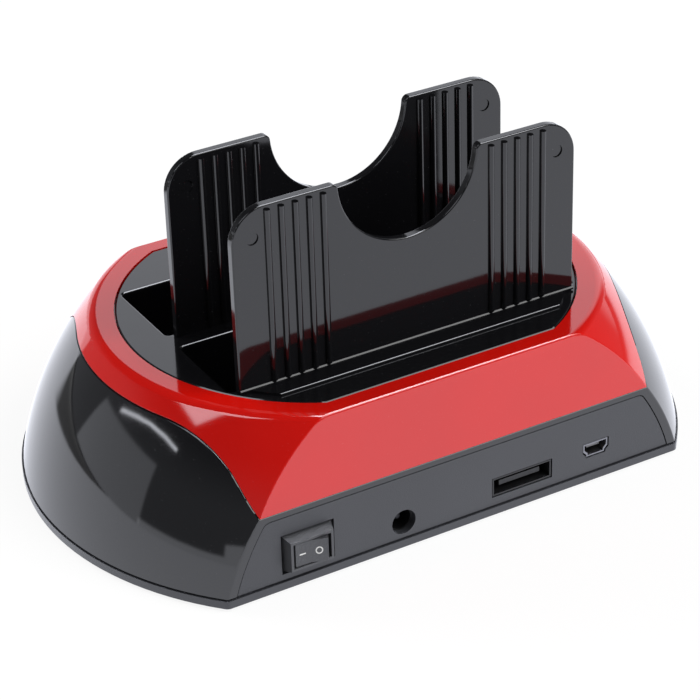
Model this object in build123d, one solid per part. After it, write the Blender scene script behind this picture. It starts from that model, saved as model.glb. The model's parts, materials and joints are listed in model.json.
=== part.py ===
from build123d import *
import os
from math import cos, radians, sin

# Hard drive docking station with two upright drive bays, in millimetres.
# X runs along the bays, -Y is the connector side, Z is up from the table.

# Body form
BODY_HEIGHT = 45.1
FOOT_DROP = 0.8
LIP_HEIGHT = 2.2
LIP_OVERHANG = 0.4
GROOVE_HEIGHT = 0.4
GROOVE_DEPTH = 0.9
END_AXIS = 8.0
DOME_FOOT_RADIUS = 82.6
DOME_TOP_RADIUS = 61.3
DOME_BULGE = 3.0
DOME_EDGE_RADIUS = 4.0
FACE_HALF_DEPTH = 56.4
FACE_LEAN = 3.0
CREASE_RADIUS = 0.8
LIP_CORNER_RADIUS = 2.0

# Walls and the seam between the black shell and the red cover
SHELL_WALL = 2.0
COVER_WALL = 2.2
TONGUE_WALL = 1.0
TONGUE_DROP = 2.0
TONGUE_FROM_FACE = 8.4
SEAM = 0.25
SPLIT_FACE_Z = 23.5
SPLIT_END_Z = 40.4
SPLIT_RADIUS = 34.8

# Tray
TRAY_FLOOR = 2.0
RIM_WALL = 1.4
RIM_HEIGHT = 2.5
FIT = 0.2
VENT_COUNT = 9
VENT_PITCH = 6.0
VENT_LENGTH = 34.0
VENT_WIDTH = 2.4
FOOT_RADIUS = 6.0
FOOT_THICK = 2.0
FOOT_X = 66.0
FOOT_Y = 30.0

# Screws that clamp tray, shell and cover
POST_X = 57.0
POST_Y = 38.5
POST_RADIUS = 3.5
BOSS_TOP = 9.0
BASE_SCREW_RADIUS = 1.5
BASE_SCREW_HEAD_RADIUS = 2.8
BASE_SCREW_HEAD_HEIGHT = 1.5
BASE_SCREW_LENGTH = 20.0
CROSS_SHARE = 0.6
CROSS_WIDTH = 0.7
CROSS_DEPTH = 0.6

# Deck and drive bays
RING_END_WIDTH = 6.4
RING_SIDE_WIDTH = 5.0
DECK_THICK = 2.1
DECK_SINK = 0.1
DECK_EDGE = 0.4
DECK_GAP = 0.3
LEDGE_WIDTH = 2.5
LEDGE_THICK = 1.8
DRIVE_WIDTH = 101.6
DRIVE_THICK = 26.1
SLOT_END_CLEARANCE = 1.2
SLOT_SIDE_CLEARANCE = 0.45
SLOT_CORNER_RADIUS = 1.2
SLOT_EDGE_RADIUS = 0.7
BAY_PITCH = 34.3
WELL_DEPTH = 24.8
WELL_WALL = 1.6
RAIL_DEPTH = 6.3
RAIL_HEIGHT = 0.7
RAIL_INSET = 3.0
RIDGE_WIDTH = 0.55
RIDGE_HEIGHT = 0.4
RIDGE_EDGE = 0.3
HOOK_WIDTH = 10.0
HOOK_WALL = 1.4
HOOK_NOSE = 1.0

# Guard plates
GUARD_WIDTH = 100.2
GUARD_THICK = 2.5
GUARD_TOP = 95.2
GUARD_CORNER_RADIUS = 9.5
GUARD_EDGE = 0.45
CUTOUT_RADIUS = 20.2
CUTOUT_LIP_RADIUS = 1.8
RIB_COUNT = 5
RIB_PITCH = 3.93
RIB_FIRST_X = 24.46
RIB_WIDTH = 1.7
RIB_HEIGHT = 0.95
RIB_TOP_GAP = 1.3
DIMPLE_RADIUS = 1.75
DIMPLE_DEPTH = 0.35
DIMPLE_X = 44.5
DIMPLE_DROP = 8.2
CATCH_X = 34.0
CATCH_WIDTH = 8.0
CATCH_HEIGHT = 2.2
CATCH_REACH = 1.2
CATCH_DROP = 12.0

# Boards
BOARD_THICK = 1.6
MAIN_BOARD_Z = 6.0
MAIN_BOARD_HALF_WIDTH = 52.0
BOARD_TO_PANEL = 0.9
BAY_BOARD_GAP = 3.0
BAY_BOARD_HALF_WIDTH = 50.0
BAY_BOARD_MARGIN = 1.5
BOARD_POST_RADIUS = 2.8
BOARD_POST_X = 46.0
POST_TO_CARD = 6.3
POST_TO_SWITCH = 9.8
BAY_POST_X = 44.0
BOARD_SCREW_RADIUS = 1.2
BOARD_SCREW_HEAD_RADIUS = 2.3
BOARD_SCREW_HEAD_HEIGHT = 1.5
BOARD_SCREW_GRIP = 2.4

# Drive connectors
SATA_X = 19.0
SATA_FROM_GUARD = 6.5
SATA_LENGTH = 42.4
SATA_DEPTH = 5.8
SATA_HEIGHT = 9.0
SATA_SIGNAL_SLOT = 10.6
SATA_POWER_SLOT = 21.0
SATA_SLOT_WIDTH = 1.5
SATA_SLOT_DEPTH = 6.2
SATA_KEY = 1.3
SATA_WINDOW_GAP = 0.4
SATA_EDGE = 0.4

# Panels
PANEL_THICK = 2.0
PANEL_MARGIN = 1.8
PANEL_GAP = 0.3
PANEL_SINK = 0.1
PANEL_TOP_Z = 21.9
PANEL_CORNER_RADIUS = 1.5
FLANGE_THICK = 1.5
FLANGE_WIDTH = 2.4

# Power switch
SWITCH_FROM_END = 23.15
SWITCH_Z = 10.8
POCKET_WIDTH = 15.2
POCKET_HEIGHT = 11.5
POCKET_DEPTH = 1.2
BEZEL_WIDTH = 14.2
BEZEL_HEIGHT = 10.5
BEZEL_PROUD = 2.3
BEZEL_TAPER = 1.0
SWITCH_BODY_WIDTH = 12.8
SWITCH_BODY_HEIGHT = 9.4
SWITCH_BODY_DEPTH = 10.5
ROCKER_RADIUS = 5.1
ROCKER_HEIGHT = 6.6
ROCKER_GAP = 0.3
ROCKER_PIVOT_PROUD = 0.0
ROCKER_CORNER_ANGLE = 33.0
ROCKER_DISH = 0.65
ROCKER_TILT = -10.0
TRUNNION_RADIUS = 0.8
TRUNNION_LENGTH = 0.5
TRUNNION_CLEARANCE = 0.05
TERMINAL_WIDTH = 3.0
TERMINAL_THICK = 0.8
TERMINAL_LENGTH = 6.0
TERMINAL_OFFSET = 3.6

# Sockets on the connector side
JACK_X = -17.2
JACK_Z = 8.1
JACK_HOLE_RADIUS = 3.5
JACK_WIDTH = 9.0
JACK_HEIGHT = 8.2
JACK_DEPTH = 14.0
JACK_BORE_RADIUS = 3.1
JACK_BORE_DEPTH = 10.0
JACK_PIN_RADIUS = 1.0
JACK_PIN_LENGTH = 9.0
JACK_WING = 1.5
JACK_WING_THICK = 1.0
JACK_WING_FRONT = 4.0
ESATA_X = 19.0
ESATA_Z = 8.7
ESATA_WIDTH = 18.2
ESATA_HEIGHT = 5.2
ESATA_DEPTH = 13.5
ESATA_TONGUE_WIDTH = 12.6
ESATA_TONGUE_THICK = 1.4
ESATA_BLOCK = 4.0
MINI_USB_X = 42.3
MINI_USB_Z = 10.1
MINI_USB_WIDTH = 7.7
MINI_USB_HEIGHT = 3.9
MINI_USB_STEP = 1.0
MINI_USB_DEPTH = 9.0
MINI_USB_LEG = 1.0
MINI_USB_TONGUE_THICK = 0.7
MINI_USB_TONGUE_RISE = 0.3
MINI_USB_BLOCK = 2.0
SOCKET_SKIN = 0.4
SOCKET_GAP = 0.3
TONGUE_SINK = 1.5
EAR_WIDTH = 1.5
EAR_FRONT = 5.0
EAR_LENGTH = 6.0

# User side
BUTTON_FROM_END = 24.35
BUTTON_Z = 13.2
BUTTON_RADIUS = 4.4
BUTTON_GAP = 0.3
BUTTON_PROUD = 1.8
BUTTON_TRAVEL = 1.0
BUTTON_FLANGE = 1.0
BUTTON_STEM_RADIUS = 1.5
BUTTON_STEM_LENGTH = 5.0
BUTTON_SWITCH_SIZE = 6.2
BUTTON_SWITCH_DEPTH = 4.0
BUTTON_SWITCH_GRIP = 1.5
BUTTON_EDGE = 0.6
LED_FROM_BUTTON = 10.0
LED_COUNT = 3
LED_PITCH = 4.5
LED_Z = 13.2
LED_RADIUS = 1.6
LED_LENGTH = 4.5
LED_PROUD = 0.3
USB_XS = (-2.0, 14.0)
USB_WIDTH = 13.1
USB_HEIGHT = 5.7
USB_DEPTH = 14.0
USB_TONGUE_WIDTH = 11.0
USB_TONGUE_THICK = 1.8
USB_TONGUE_GAP = 0.6
USB_BLOCK = 3.0
CARD_X = 35.5
CARD_SLOT_WIDTH = 24.6
CARD_SLOT_HEIGHT = 2.8
CARD_WIDTH = 28.0
CARD_HEIGHT = 3.6
CARD_DEPTH = 26.0
CARD_BACK_WALL = 2.0

# Parts on the main board
CAPACITOR_RADIUS = 3.15
CAPACITOR_HEIGHT = 7.7
CAPACITOR_BASE = 1.0
CAN_EDGE = 0.5
CAN_GAP = 0.05
CAPACITOR_ROW_X = -2.0
CAPACITOR_FROM_PANEL = 8.3
CAPACITOR_PITCH = 8.0
CAPACITOR_FROM_BUTTON = 14.0
CAPACITOR_FROM_FRONT = 10.3
CHIP_HEIGHT = 1.2
BRIDGE_CHIP_SPOT = (-20.0, 8.0)
BRIDGE_CHIP_SIZE = 12.0
DRIVE_CHIP_SPOT = (20.0, -4.0)
DRIVE_CHIP_SIZE = 14.0
CARD_CHIP_SIZE = 9.0
CARD_CHIP_FROM_SOCKET = 8.3
INDUCTOR_X = -24.0
INDUCTOR_FROM_JACK = 10.3
INDUCTOR_SIZE = 7.0
INDUCTOR_HEIGHT = 4.0
CRYSTAL_SPOT = (4.0, 14.0)
CRYSTAL_LENGTH = 11.0
CRYSTAL_WIDTH = 4.6
CRYSTAL_HEIGHT = 3.5
HEADER_SPOT = (-2.0, -22.0)
HEADER_PINS = 12
HEADER_PITCH = 2.54
HEADER_BASE = 2.5
HEADER_PIN_HALF = 0.32

# Places that follow from the sizes above
LIP_Z = FOOT_DROP
LIP_TOP = LIP_Z + LIP_HEIGHT
SHELL_Z = LIP_TOP + GROOVE_HEIGHT
FLOOR_Z = LIP_Z + TRAY_FLOOR
SLOT_LENGTH = DRIVE_WIDTH + 2 * SLOT_END_CLEARANCE
SLOT_WIDTH = DRIVE_THICK + 2 * SLOT_SIDE_CLEARANCE
SLOT_CENTRES = (-BAY_PITCH / 2, BAY_PITCH / 2)
DECK_TOP = BODY_HEIGHT - DECK_SINK
DECK_BOTTOM = DECK_TOP - DECK_THICK
WELL_FLOOR_Z = DECK_TOP - WELL_DEPTH
WELL_BOTTOM = WELL_FLOOR_Z - WELL_WALL
BAY_BOARD_Z = WELL_BOTTOM - BAY_BOARD_GAP - BOARD_THICK
MAIN_BOARD_TOP = MAIN_BOARD_Z + BOARD_THICK
PANEL_FACE = FACE_HALF_DEPTH - PANEL_SINK
PANEL_BACK = PANEL_FACE - PANEL_THICK
FACE_TOP_HALF_DEPTH = FACE_HALF_DEPTH - FACE_LEAN
TONGUE_HALF_DEPTH = FACE_HALF_DEPTH - TONGUE_FROM_FACE
DECK_RADIUS = DOME_TOP_RADIUS - RING_END_WIDTH
DECK_HALF_DEPTH = FACE_TOP_HALF_DEPTH - RING_SIDE_WIDTH
MAIN_BOARD_HALF_DEPTH = PANEL_BACK - BOARD_TO_PANEL
FACE_END = END_AXIS + (DOME_FOOT_RADIUS ** 2 - FACE_HALF_DEPTH ** 2) ** 0.5
SWITCH_X = SWITCH_FROM_END - FACE_END
BUTTON_X = BUTTON_FROM_END - FACE_END
LED_XS = [BUTTON_X + LED_FROM_BUTTON + i * LED_PITCH for i in range(LED_COUNT)]
CARD_BACK = PANEL_BACK - CARD_DEPTH
SWITCH_BACK = -PANEL_BACK + SWITCH_BODY_DEPTH + TERMINAL_LENGTH
BOARD_POST_FRONT_Y = CARD_BACK - POST_TO_CARD
BOARD_POST_REAR_Y = SWITCH_BACK + POST_TO_SWITCH
CAPACITOR_SPOTS = (
    (CAPACITOR_ROW_X, -PANEL_BACK + CAPACITOR_FROM_PANEL),
    (CAPACITOR_ROW_X, -PANEL_BACK + CAPACITOR_FROM_PANEL + CAPACITOR_PITCH),
    (BUTTON_X + CAPACITOR_FROM_BUTTON, PANEL_BACK - CAPACITOR_FROM_FRONT),
)
CHIP_SPOTS = (
    (*BRIDGE_CHIP_SPOT, BRIDGE_CHIP_SIZE),
    (*DRIVE_CHIP_SPOT, DRIVE_CHIP_SIZE),
    (CARD_X, CARD_BACK - CARD_CHIP_FROM_SOCKET, CARD_CHIP_SIZE),
)
INDUCTOR_SPOT = (INDUCTOR_X, -PANEL_BACK + JACK_DEPTH + INDUCTOR_FROM_JACK)
FAR = 300.0


def span(x0, x1, y0, y1, z0, z1):
    """Box between two values on each axis."""
    centre = Pos((x0 + x1) / 2, (y0 + y1) / 2, (z0 + z1) / 2)
    return centre * Box(x1 - x0, y1 - y0, z1 - z0)


def upright(radius, x, y, z0, z1):
    """Upright cylinder between two heights."""
    return Pos(x, y, (z0 + z1) / 2) * Cylinder(radius, z1 - z0)


def along_y(radius, x, z, y0, y1):
    """Cylinder that lies along Y between two depths."""
    return Pos(x, (y0 + y1) / 2, z) * Rot(90, 0, 0) * Cylinder(radius, abs(y1 - y0))


def plan(radius, half_depth, z0, z1):
    """Slab with straight long sides and two round ends."""
    ends = Pos(END_AXIS, 0) * Circle(radius) + Pos(-END_AXIS, 0) * Circle(radius)
    outline = ends & Rectangle(FAR, 2 * half_depth)
    return extrude(Pos(0, 0, z0) * outline, z1 - z0)


def dome(inset, top_drop, skirt):
    """One turned end, with its top edge rounded, standing on the world Z axis."""
    foot = DOME_FOOT_RADIUS - inset
    top = DOME_TOP_RADIUS - inset
    z_top = BODY_HEIGHT - top_drop
    side = SagittaArc((foot, SHELL_Z), (top, z_top), -DOME_BULGE)
    outline = [
        Line((0, SHELL_Z - skirt), (foot, SHELL_Z - skirt)),
        side,
        Line((top, z_top), (0, z_top)),
        Line((0, z_top), (0, SHELL_Z - skirt)),
    ]
    if skirt > 0:
        outline.append(Line((foot, SHELL_Z - skirt), (foot, SHELL_Z)))
    profile = make_face(outline)
    corner = profile.vertices().sort_by(lambda v: (Vector(v) - Vector(top, z_top)).length)[0]
    profile = fillet(corner, max(DOME_EDGE_RADIUS - inset, 0.5))
    return revolve(Plane.XZ * profile, Axis.Z)


def body_form(inset=0.0, face_inset=None, top_drop=None, skirt=0.0):
    """Outer form of the body, or the same form set in by a wall."""
    face_inset = inset if face_inset is None else face_inset
    top_drop = inset if top_drop is None else top_drop
    end = dome(inset, top_drop, skirt)
    ends = Pos(END_AXIS, 0, 0) * end + Pos(-END_AXIS, 0, 0) * end
    y_low = FACE_HALF_DEPTH - face_inset
    y_top = FACE_TOP_HALF_DEPTH - face_inset
    section = Polygon(
        (-y_low, SHELL_Z - skirt), (y_low, SHELL_Z - skirt), (y_low, SPLIT_FACE_Z),
        (y_top, BODY_HEIGHT), (-y_top, BODY_HEIGHT), (-y_low, SPLIT_FACE_Z), align=None,
    )
    return ends & extrude(Plane.YZ * section, FAR, both=True)


def above_split(raise_by):
    """Everything above the seam between shell and cover, raised or lowered."""
    z_end = SPLIT_END_Z + raise_by
    y_corner = FACE_HALF_DEPTH - (SPLIT_END_Z - SPLIT_FACE_Z)
    y_far = y_corner + z_end
    region = Polygon(
        (-y_far, 0), (-y_corner, z_end), (y_corner, z_end), (y_far, 0),
        (y_far, FAR), (-y_far, FAR), align=None,
    )
    corners = region.vertices().filter_by(lambda v: abs(v.Y - z_end) < 0.01)
    return extrude(Plane.YZ * fillet(corners, SPLIT_RADIUS), FAR, both=True)


def creased_form():
    """Outer form with its long creases softened."""
    form = body_form()
    creases = form.edges().filter_by(is_crease)
    return fillet(creases, CREASE_RADIUS)


def is_crease(edge):
    """True for the edges of the long faces, apart from their foot and their bend."""
    ends = (edge.position_at(0), edge.position_at(1))
    on_face = all(abs(p.Y) > FACE_TOP_HALF_DEPTH - 0.01 for p in ends)
    level = abs(ends[0].Z - ends[1].Z) < 0.01
    low = ends[0].Z < SPLIT_FACE_Z + 0.01
    return on_face and not (level and low)


FORM = creased_form()
SIGNS = (-1, 1)
CORNERS = [(sx, sy) for sx in SIGNS for sy in SIGNS]


def base_tray():
    """Tray with its lip, the groove step, the rim inside the shell and its posts."""
    lip_radius = DOME_FOOT_RADIUS + LIP_OVERHANG
    lip = plan(lip_radius, FACE_HALF_DEPTH + LIP_OVERHANG, LIP_Z, LIP_TOP)
    upright_edges = lip.edges().filter_by(Axis.Z)
    lip = fillet(upright_edges, LIP_CORNER_RADIUS)
    step_radius = DOME_FOOT_RADIUS - GROOVE_DEPTH
    step = plan(step_radius, FACE_HALF_DEPTH - GROOVE_DEPTH, LIP_TOP, SHELL_Z)
    hollow_in = SHELL_WALL + FIT + RIM_WALL
    hollow = plan(DOME_FOOT_RADIUS - hollow_in, FACE_HALF_DEPTH - hollow_in, FLOOR_Z, FAR)
    rim_face = FLANGE_THICK + PANEL_THICK + PANEL_SINK + FIT
    rim = body_form(inset=SHELL_WALL + FIT, face_inset=rim_face)
    rim -= body_form(inset=hollow_in, face_inset=0)
    rim &= span(-FAR, FAR, -FAR, FAR, SHELL_Z, SHELL_Z + RIM_HEIGHT)
    tray = lip + step - hollow + rim
    for x, y in CORNERS:
        tray += upright(POST_RADIUS, x * POST_X, y * POST_Y, LIP_Z, BOSS_TOP)
        tray -= upright(BASE_SCREW_RADIUS + FIT / 2, x * POST_X, y * POST_Y, LIP_Z, BOSS_TOP)
        head = BASE_SCREW_HEAD_HEIGHT + FIT
        tray -= upright(BASE_SCREW_HEAD_RADIUS + FIT, x * POST_X, y * POST_Y, LIP_Z, LIP_Z + head)
        recess = FOOT_THICK - FOOT_DROP
        tray -= upright(FOOT_RADIUS, x * FOOT_X, y * FOOT_Y, LIP_Z, LIP_Z + recess)
    for x, y in main_board_spots():
        tray += upright(BOARD_POST_RADIUS, x, y, LIP_Z, MAIN_BOARD_Z)
        tray -= upright(BOARD_SCREW_RADIUS, x, y, FLOOR_Z, MAIN_BOARD_Z)
    for i in range(VENT_COUNT):
        x = (i - (VENT_COUNT - 1) / 2) * VENT_PITCH
        outline = Pos(x, 0, LIP_Z) * SlotOverall(VENT_LENGTH, VENT_WIDTH, rotation=90)
        tray -= extrude(outline, TRAY_FLOOR)
    return tray


def main_board_spots():
    """Places of the screws that hold the main board."""
    depths = (BOARD_POST_REAR_Y, BOARD_POST_FRONT_Y)
    return [(sx * BOARD_POST_X, y) for sx in SIGNS for y in depths]


def rubber_feet():
    """Four round feet let into the tray."""
    feet = []
    for x, y in CORNERS:
        foot = upright(FOOT_RADIUS - FIT / 2, x * FOOT_X, y * FOOT_Y, 0, FOOT_THICK)
        low = foot.edges().group_by(Axis.Z)[0]
        feet.append(fillet(low, FOOT_DROP / 2))
    return feet


def base_screws():
    """Four screws from below, through the tray and into the posts of the cover."""
    screws = []
    for x, y in CORNERS:
        low = LIP_Z + FIT
        top = low + BASE_SCREW_HEAD_HEIGHT
        head = upright(BASE_SCREW_HEAD_RADIUS, x * POST_X, y * POST_Y, low, top)
        shank = upright(BASE_SCREW_RADIUS, x * POST_X, y * POST_Y, top, top + BASE_SCREW_LENGTH)
        cross = cross_recess(x * POST_X, y * POST_Y, low, BASE_SCREW_HEAD_RADIUS)
        screws.append(head + shank - cross)
    return screws


def cross_recess(x, y, z, head_radius):
    """Crossed recess for a driver, cut into a screw head whose face lies at the given height."""
    length = 2 * head_radius * CROSS_SHARE
    bar = Box(length, CROSS_WIDTH, 2 * CROSS_DEPTH)
    return Pos(x, y, z) * (bar + Rot(0, 0, 90) * bar)


def panel_zone(margin, side, y_out, y_in, top_z):
    """Slab of the body form on one long side, set in from the ends."""
    zone = body_form(inset=margin, face_inset=-FLANGE_THICK, top_drop=0)
    return zone & span(-FAR, FAR, *sorted((side * y_out, side * y_in)), 0, top_z)


def rounded_zone(margin, side, top_z):
    """The same slab, from the panel's back outwards, with its two upper corners rounded."""
    zone = panel_zone(margin, side, FAR, PANEL_BACK, top_z)
    corners = zone.edges().filter_by(lambda e: is_top_corner(e, top_z))
    return fillet(corners, PANEL_CORNER_RADIUS)


def is_top_corner(edge, top_z):
    """True for the two edges that run inwards along the upper corners of a panel."""
    ends = (edge.position_at(0), edge.position_at(1))
    at_top = all(abs(p.Z - top_z) < 0.01 for p in ends)
    return at_top and abs(ends[0].Y - ends[1].Y) > PANEL_THICK / 2


def body_shell():
    """Black shell with two domed ends and a framed window on each long side."""
    solid = FORM - above_split(-SEAM / 2)
    shell = solid - body_form(inset=SHELL_WALL, skirt=1.0)
    wall_back = FACE_HALF_DEPTH - SHELL_WALL
    for side in SIGNS:
        flange_back = PANEL_BACK - FLANGE_THICK
        frame_front = wall_back + SHELL_WALL / 2
        frame = panel_zone(SHELL_WALL / 2, side, frame_front, flange_back, SPLIT_FACE_Z - SEAM)
        inner = panel_zone(PANEL_MARGIN + FLANGE_WIDTH, side, FAR, 0, PANEL_TOP_Z - FLANGE_WIDTH)
        shell += frame - inner
        shell -= rounded_zone(PANEL_MARGIN, side, PANEL_TOP_Z)
    return shell


def top_cover():
    """Red cover with the flat ring, the ledge for the deck, its tongue and four posts."""
    solid = FORM & above_split(SEAM / 2)
    cavity = body_form(inset=COVER_WALL)
    cover = solid - cavity
    tongue = body_form(inset=COVER_WALL) - body_form(inset=COVER_WALL + TONGUE_WALL)
    tongue &= above_split(-TONGUE_DROP) - above_split(COVER_WALL)
    tongue &= span(-FAR, FAR, -TONGUE_HALF_DEPTH, TONGUE_HALF_DEPTH, 0, FAR)
    cover += tongue
    ledge_top = DECK_BOTTOM
    ledge_reach = COVER_WALL
    ledge = plan(DECK_RADIUS + ledge_reach, DECK_HALF_DEPTH + ledge_reach, ledge_top - LEDGE_THICK,
                 BODY_HEIGHT - COVER_WALL / 2)
    cover += ledge & body_form(inset=COVER_WALL / 2)
    cover -= plan(DECK_RADIUS, DECK_HALF_DEPTH, ledge_top, FAR)
    cover -= plan(DECK_RADIUS - LEDGE_WIDTH, DECK_HALF_DEPTH - LEDGE_WIDTH, 0, FAR)
    wells_half = SLOT_LENGTH / 2 + WELL_WALL + FIT
    wells_low = guard_back(SLOT_CENTRES[0]) - GUARD_THICK - WELL_WALL - FIT
    wells_high = SLOT_CENTRES[1] + SLOT_WIDTH / 2 + WELL_WALL + FIT
    cover -= span(-wells_half, wells_half, wells_low, wells_high, 0, DECK_BOTTOM)
    post_room = body_form(inset=COVER_WALL)
    for x, y in CORNERS:
        post = upright(POST_RADIUS, x * POST_X, y * POST_Y, BOSS_TOP, BODY_HEIGHT)
        cover += post & post_room
        bore_top = LIP_Z + BASE_SCREW_HEAD_HEIGHT + BASE_SCREW_LENGTH + 2 * FIT + 1
        cover -= upright(BASE_SCREW_RADIUS + FIT / 2, x * POST_X, y * POST_Y, BOSS_TOP, bore_top)
    return cover


def guard_back(slot_y):
    """Depth of the guard plate's far face, which is also the edge of its slot."""
    return slot_y - SLOT_WIDTH / 2


def deck_opening(slot_y):
    """Slot through the deck with the notch that the guard plate stands in."""
    slot = RectangleRounded(SLOT_LENGTH, SLOT_WIDTH, SLOT_CORNER_RADIUS)
    slot_cut = extrude(Pos(0, slot_y, DECK_BOTTOM - 1) * slot, DECK_THICK + 3)
    back = guard_back(slot_y)
    half = GUARD_WIDTH / 2 + FIT
    notch_back = back + SLOT_CORNER_RADIUS
    notch = span(-half, half, back - GUARD_THICK, notch_back, DECK_BOTTOM - 1, DECK_TOP + 3)
    return slot_cut + notch


def bay_posts():
    """Places of the posts that carry the bay board."""
    return [(sx * BAY_POST_X, y + SLOT_WIDTH / 4) for sx in SIGNS for y in SLOT_CENTRES]


def bay_deck():
    """Oval deck with two drive slots, the wells below them and the rail at the near plate."""
    deck = plan(DECK_RADIUS - DECK_GAP, DECK_HALF_DEPTH - DECK_GAP, DECK_BOTTOM, DECK_TOP)
    deck = chamfer(deck.edges().group_by(Axis.Z)[-1], DECK_EDGE)
    near_front = guard_back(SLOT_CENTRES[0]) - GUARD_THICK
    rail = plan(DECK_RADIUS - RAIL_INSET, DECK_HALF_DEPTH, DECK_BOTTOM, DECK_TOP + RAIL_HEIGHT)
    rail &= span(-FAR, FAR, near_front - RAIL_DEPTH, near_front, 0, FAR)
    rail = fillet(rail.edges().group_by(Axis.Z)[-1].sort_by(Axis.Y)[0], RAIL_HEIGHT / 2)
    deck += rail + plate_ridge(near_front)
    half = SLOT_LENGTH / 2
    for slot_y in SLOT_CENTRES:
        front = guard_back(slot_y) - GUARD_THICK
        back = slot_y + SLOT_WIDTH / 2
        wall_x = half + WELL_WALL
        deck += span(-wall_x, wall_x, front - WELL_WALL, back + WELL_WALL, WELL_BOTTOM, DECK_BOTTOM)
    for slot_y in SLOT_CENTRES:
        front = guard_back(slot_y) - GUARD_THICK
        back = slot_y + SLOT_WIDTH / 2
        deck -= span(-half, half, front, back, WELL_FLOOR_Z, DECK_BOTTOM)
        deck -= deck_opening(slot_y)
        y = guard_back(slot_y) + SATA_FROM_GUARD
        wide = SATA_LENGTH / 2 + SATA_WINDOW_GAP
        deep = SATA_DEPTH / 2 + SATA_WINDOW_GAP
        deck -= span(SATA_X - wide, SATA_X + wide, y - deep, y + deep, WELL_BOTTOM, WELL_FLOOR_Z)
        for x in (-CATCH_X, CATCH_X):
            deck += guard_catch(x, front)
    lip_edges = deck.edges().filter_by(is_slot_edge)
    deck = fillet(lip_edges, SLOT_EDGE_RADIUS)
    for x, y in bay_posts():
        deck += upright(BOARD_POST_RADIUS, x, y, BAY_BOARD_Z + BOARD_THICK, WELL_BOTTOM)
        deck -= upright(BOARD_SCREW_RADIUS, x, y, BAY_BOARD_Z + BOARD_THICK, WELL_BOTTOM)
    for side in SIGNS:
        deck += deck_hook(side)
    return deck


def plate_ridge(front):
    """Low bevelled ridge on the rail, along the foot of the near guard plate."""
    half = GUARD_WIDTH / 2
    low = DECK_TOP + RAIL_HEIGHT
    ridge = span(-half, half, front - RIDGE_WIDTH, front, low - RAIL_HEIGHT / 2, low + RIDGE_HEIGHT)
    return chamfer(ridge.edges().group_by(Axis.Z)[-1].sort_by(Axis.Y)[0], RIDGE_EDGE)


def is_slot_edge(edge):
    """True for the far edge and the two end edges of each slot on the deck's face."""
    ends = (edge.position_at(0), edge.position_at(1))
    at_top = all(abs(p.Z - DECK_TOP) < 0.01 for p in ends)
    on_slot = False
    for slot_y in SLOT_CENTRES:
        far_edge = slot_y + SLOT_WIDTH / 2
        at_far = all(abs(p.Y - far_edge) < 0.01 for p in ends)
        on_slot = on_slot or at_far
    return at_top and on_slot


def guard_catch(x, front):
    """Wedge on the well wall that snaps into the window of a guard plate."""
    z = DECK_TOP - CATCH_DROP
    tall = CATCH_HEIGHT / 2
    wedge = Polygon((0, -tall), (CATCH_REACH, -tall), (0, tall), align=None)
    solid = extrude(Plane.YZ * wedge, CATCH_WIDTH / 2, both=True)
    return Pos(x, front, z) * solid


def deck_hook(side):
    """Hook under the deck that snaps below the ledge of the cover."""
    edge = END_AXIS + DECK_RADIUS - LEDGE_WIDTH - FIT
    ledge_bottom = DECK_BOTTOM - LEDGE_THICK
    half = HOOK_WIDTH / 2
    low = ledge_bottom - FIT - HOOK_NOSE
    radius = DECK_RADIUS - LEDGE_WIDTH - FIT
    sag = radius - (radius ** 2 - half ** 2) ** 0.5
    tab = span(edge - sag - HOOK_WALL, edge - sag, -half, half, low, DECK_BOTTOM)
    nose = span(edge - sag, edge - sag + HOOK_NOSE, -half, half, low, low + HOOK_NOSE)
    hook = tab + nose
    return hook if side > 0 else mirror(hook, Plane.YZ)


def guard_plate(slot_y):
    """Tall plate with the finger cut-out, ribs on its near face and two ejector dimples."""
    half = GUARD_WIDTH / 2
    points = [(-half, WELL_FLOOR_Z), (half, WELL_FLOOR_Z), (half, GUARD_TOP), (-half, GUARD_TOP)]
    blank = Polygon(*points, align=None)
    top_corners = blank.vertices().filter_by(lambda v: v.Y > GUARD_TOP - 0.01)
    outline = fillet(top_corners, GUARD_CORNER_RADIUS) - Pos(0, GUARD_TOP) * Circle(CUTOUT_RADIUS)
    lips = outline.vertices().filter_by(lambda v: abs(abs(v.X) - CUTOUT_RADIUS) < 0.01)
    outline = fillet(lips, CUTOUT_LIP_RADIUS)
    plate = extrude(Plane.XZ * outline, -GUARD_THICK)
    rim = plate.edges().filter_by(is_guard_rim)
    plate = fillet(rim, GUARD_EDGE)
    for sign in SIGNS:
        for i in range(RIB_COUNT):
            plate += guard_rib(sign * (RIB_FIRST_X + i * RIB_PITCH))
        plate -= along_y(DIMPLE_RADIUS, sign * DIMPLE_X, GUARD_TOP - DIMPLE_DROP, -1, DIMPLE_DEPTH)
        z = DECK_TOP - CATCH_DROP
        wide = CATCH_WIDTH / 2 + FIT
        tall = CATCH_HEIGHT / 2 + FIT
        x = sign * CATCH_X
        plate -= span(x - wide, x + wide, -1, GUARD_THICK + 1, z - tall, z + tall)
    return Pos(0, guard_back(slot_y) - GUARD_THICK, 0) * plate


def is_guard_rim(edge):
    """True for the edges round the part of a guard plate that stands above the deck."""
    middle = edge.position_at(0.5)
    flat = abs(edge.position_at(0).Y - edge.position_at(1).Y) < 0.01
    return flat and middle.Z > WELL_FLOOR_Z + 1


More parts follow.
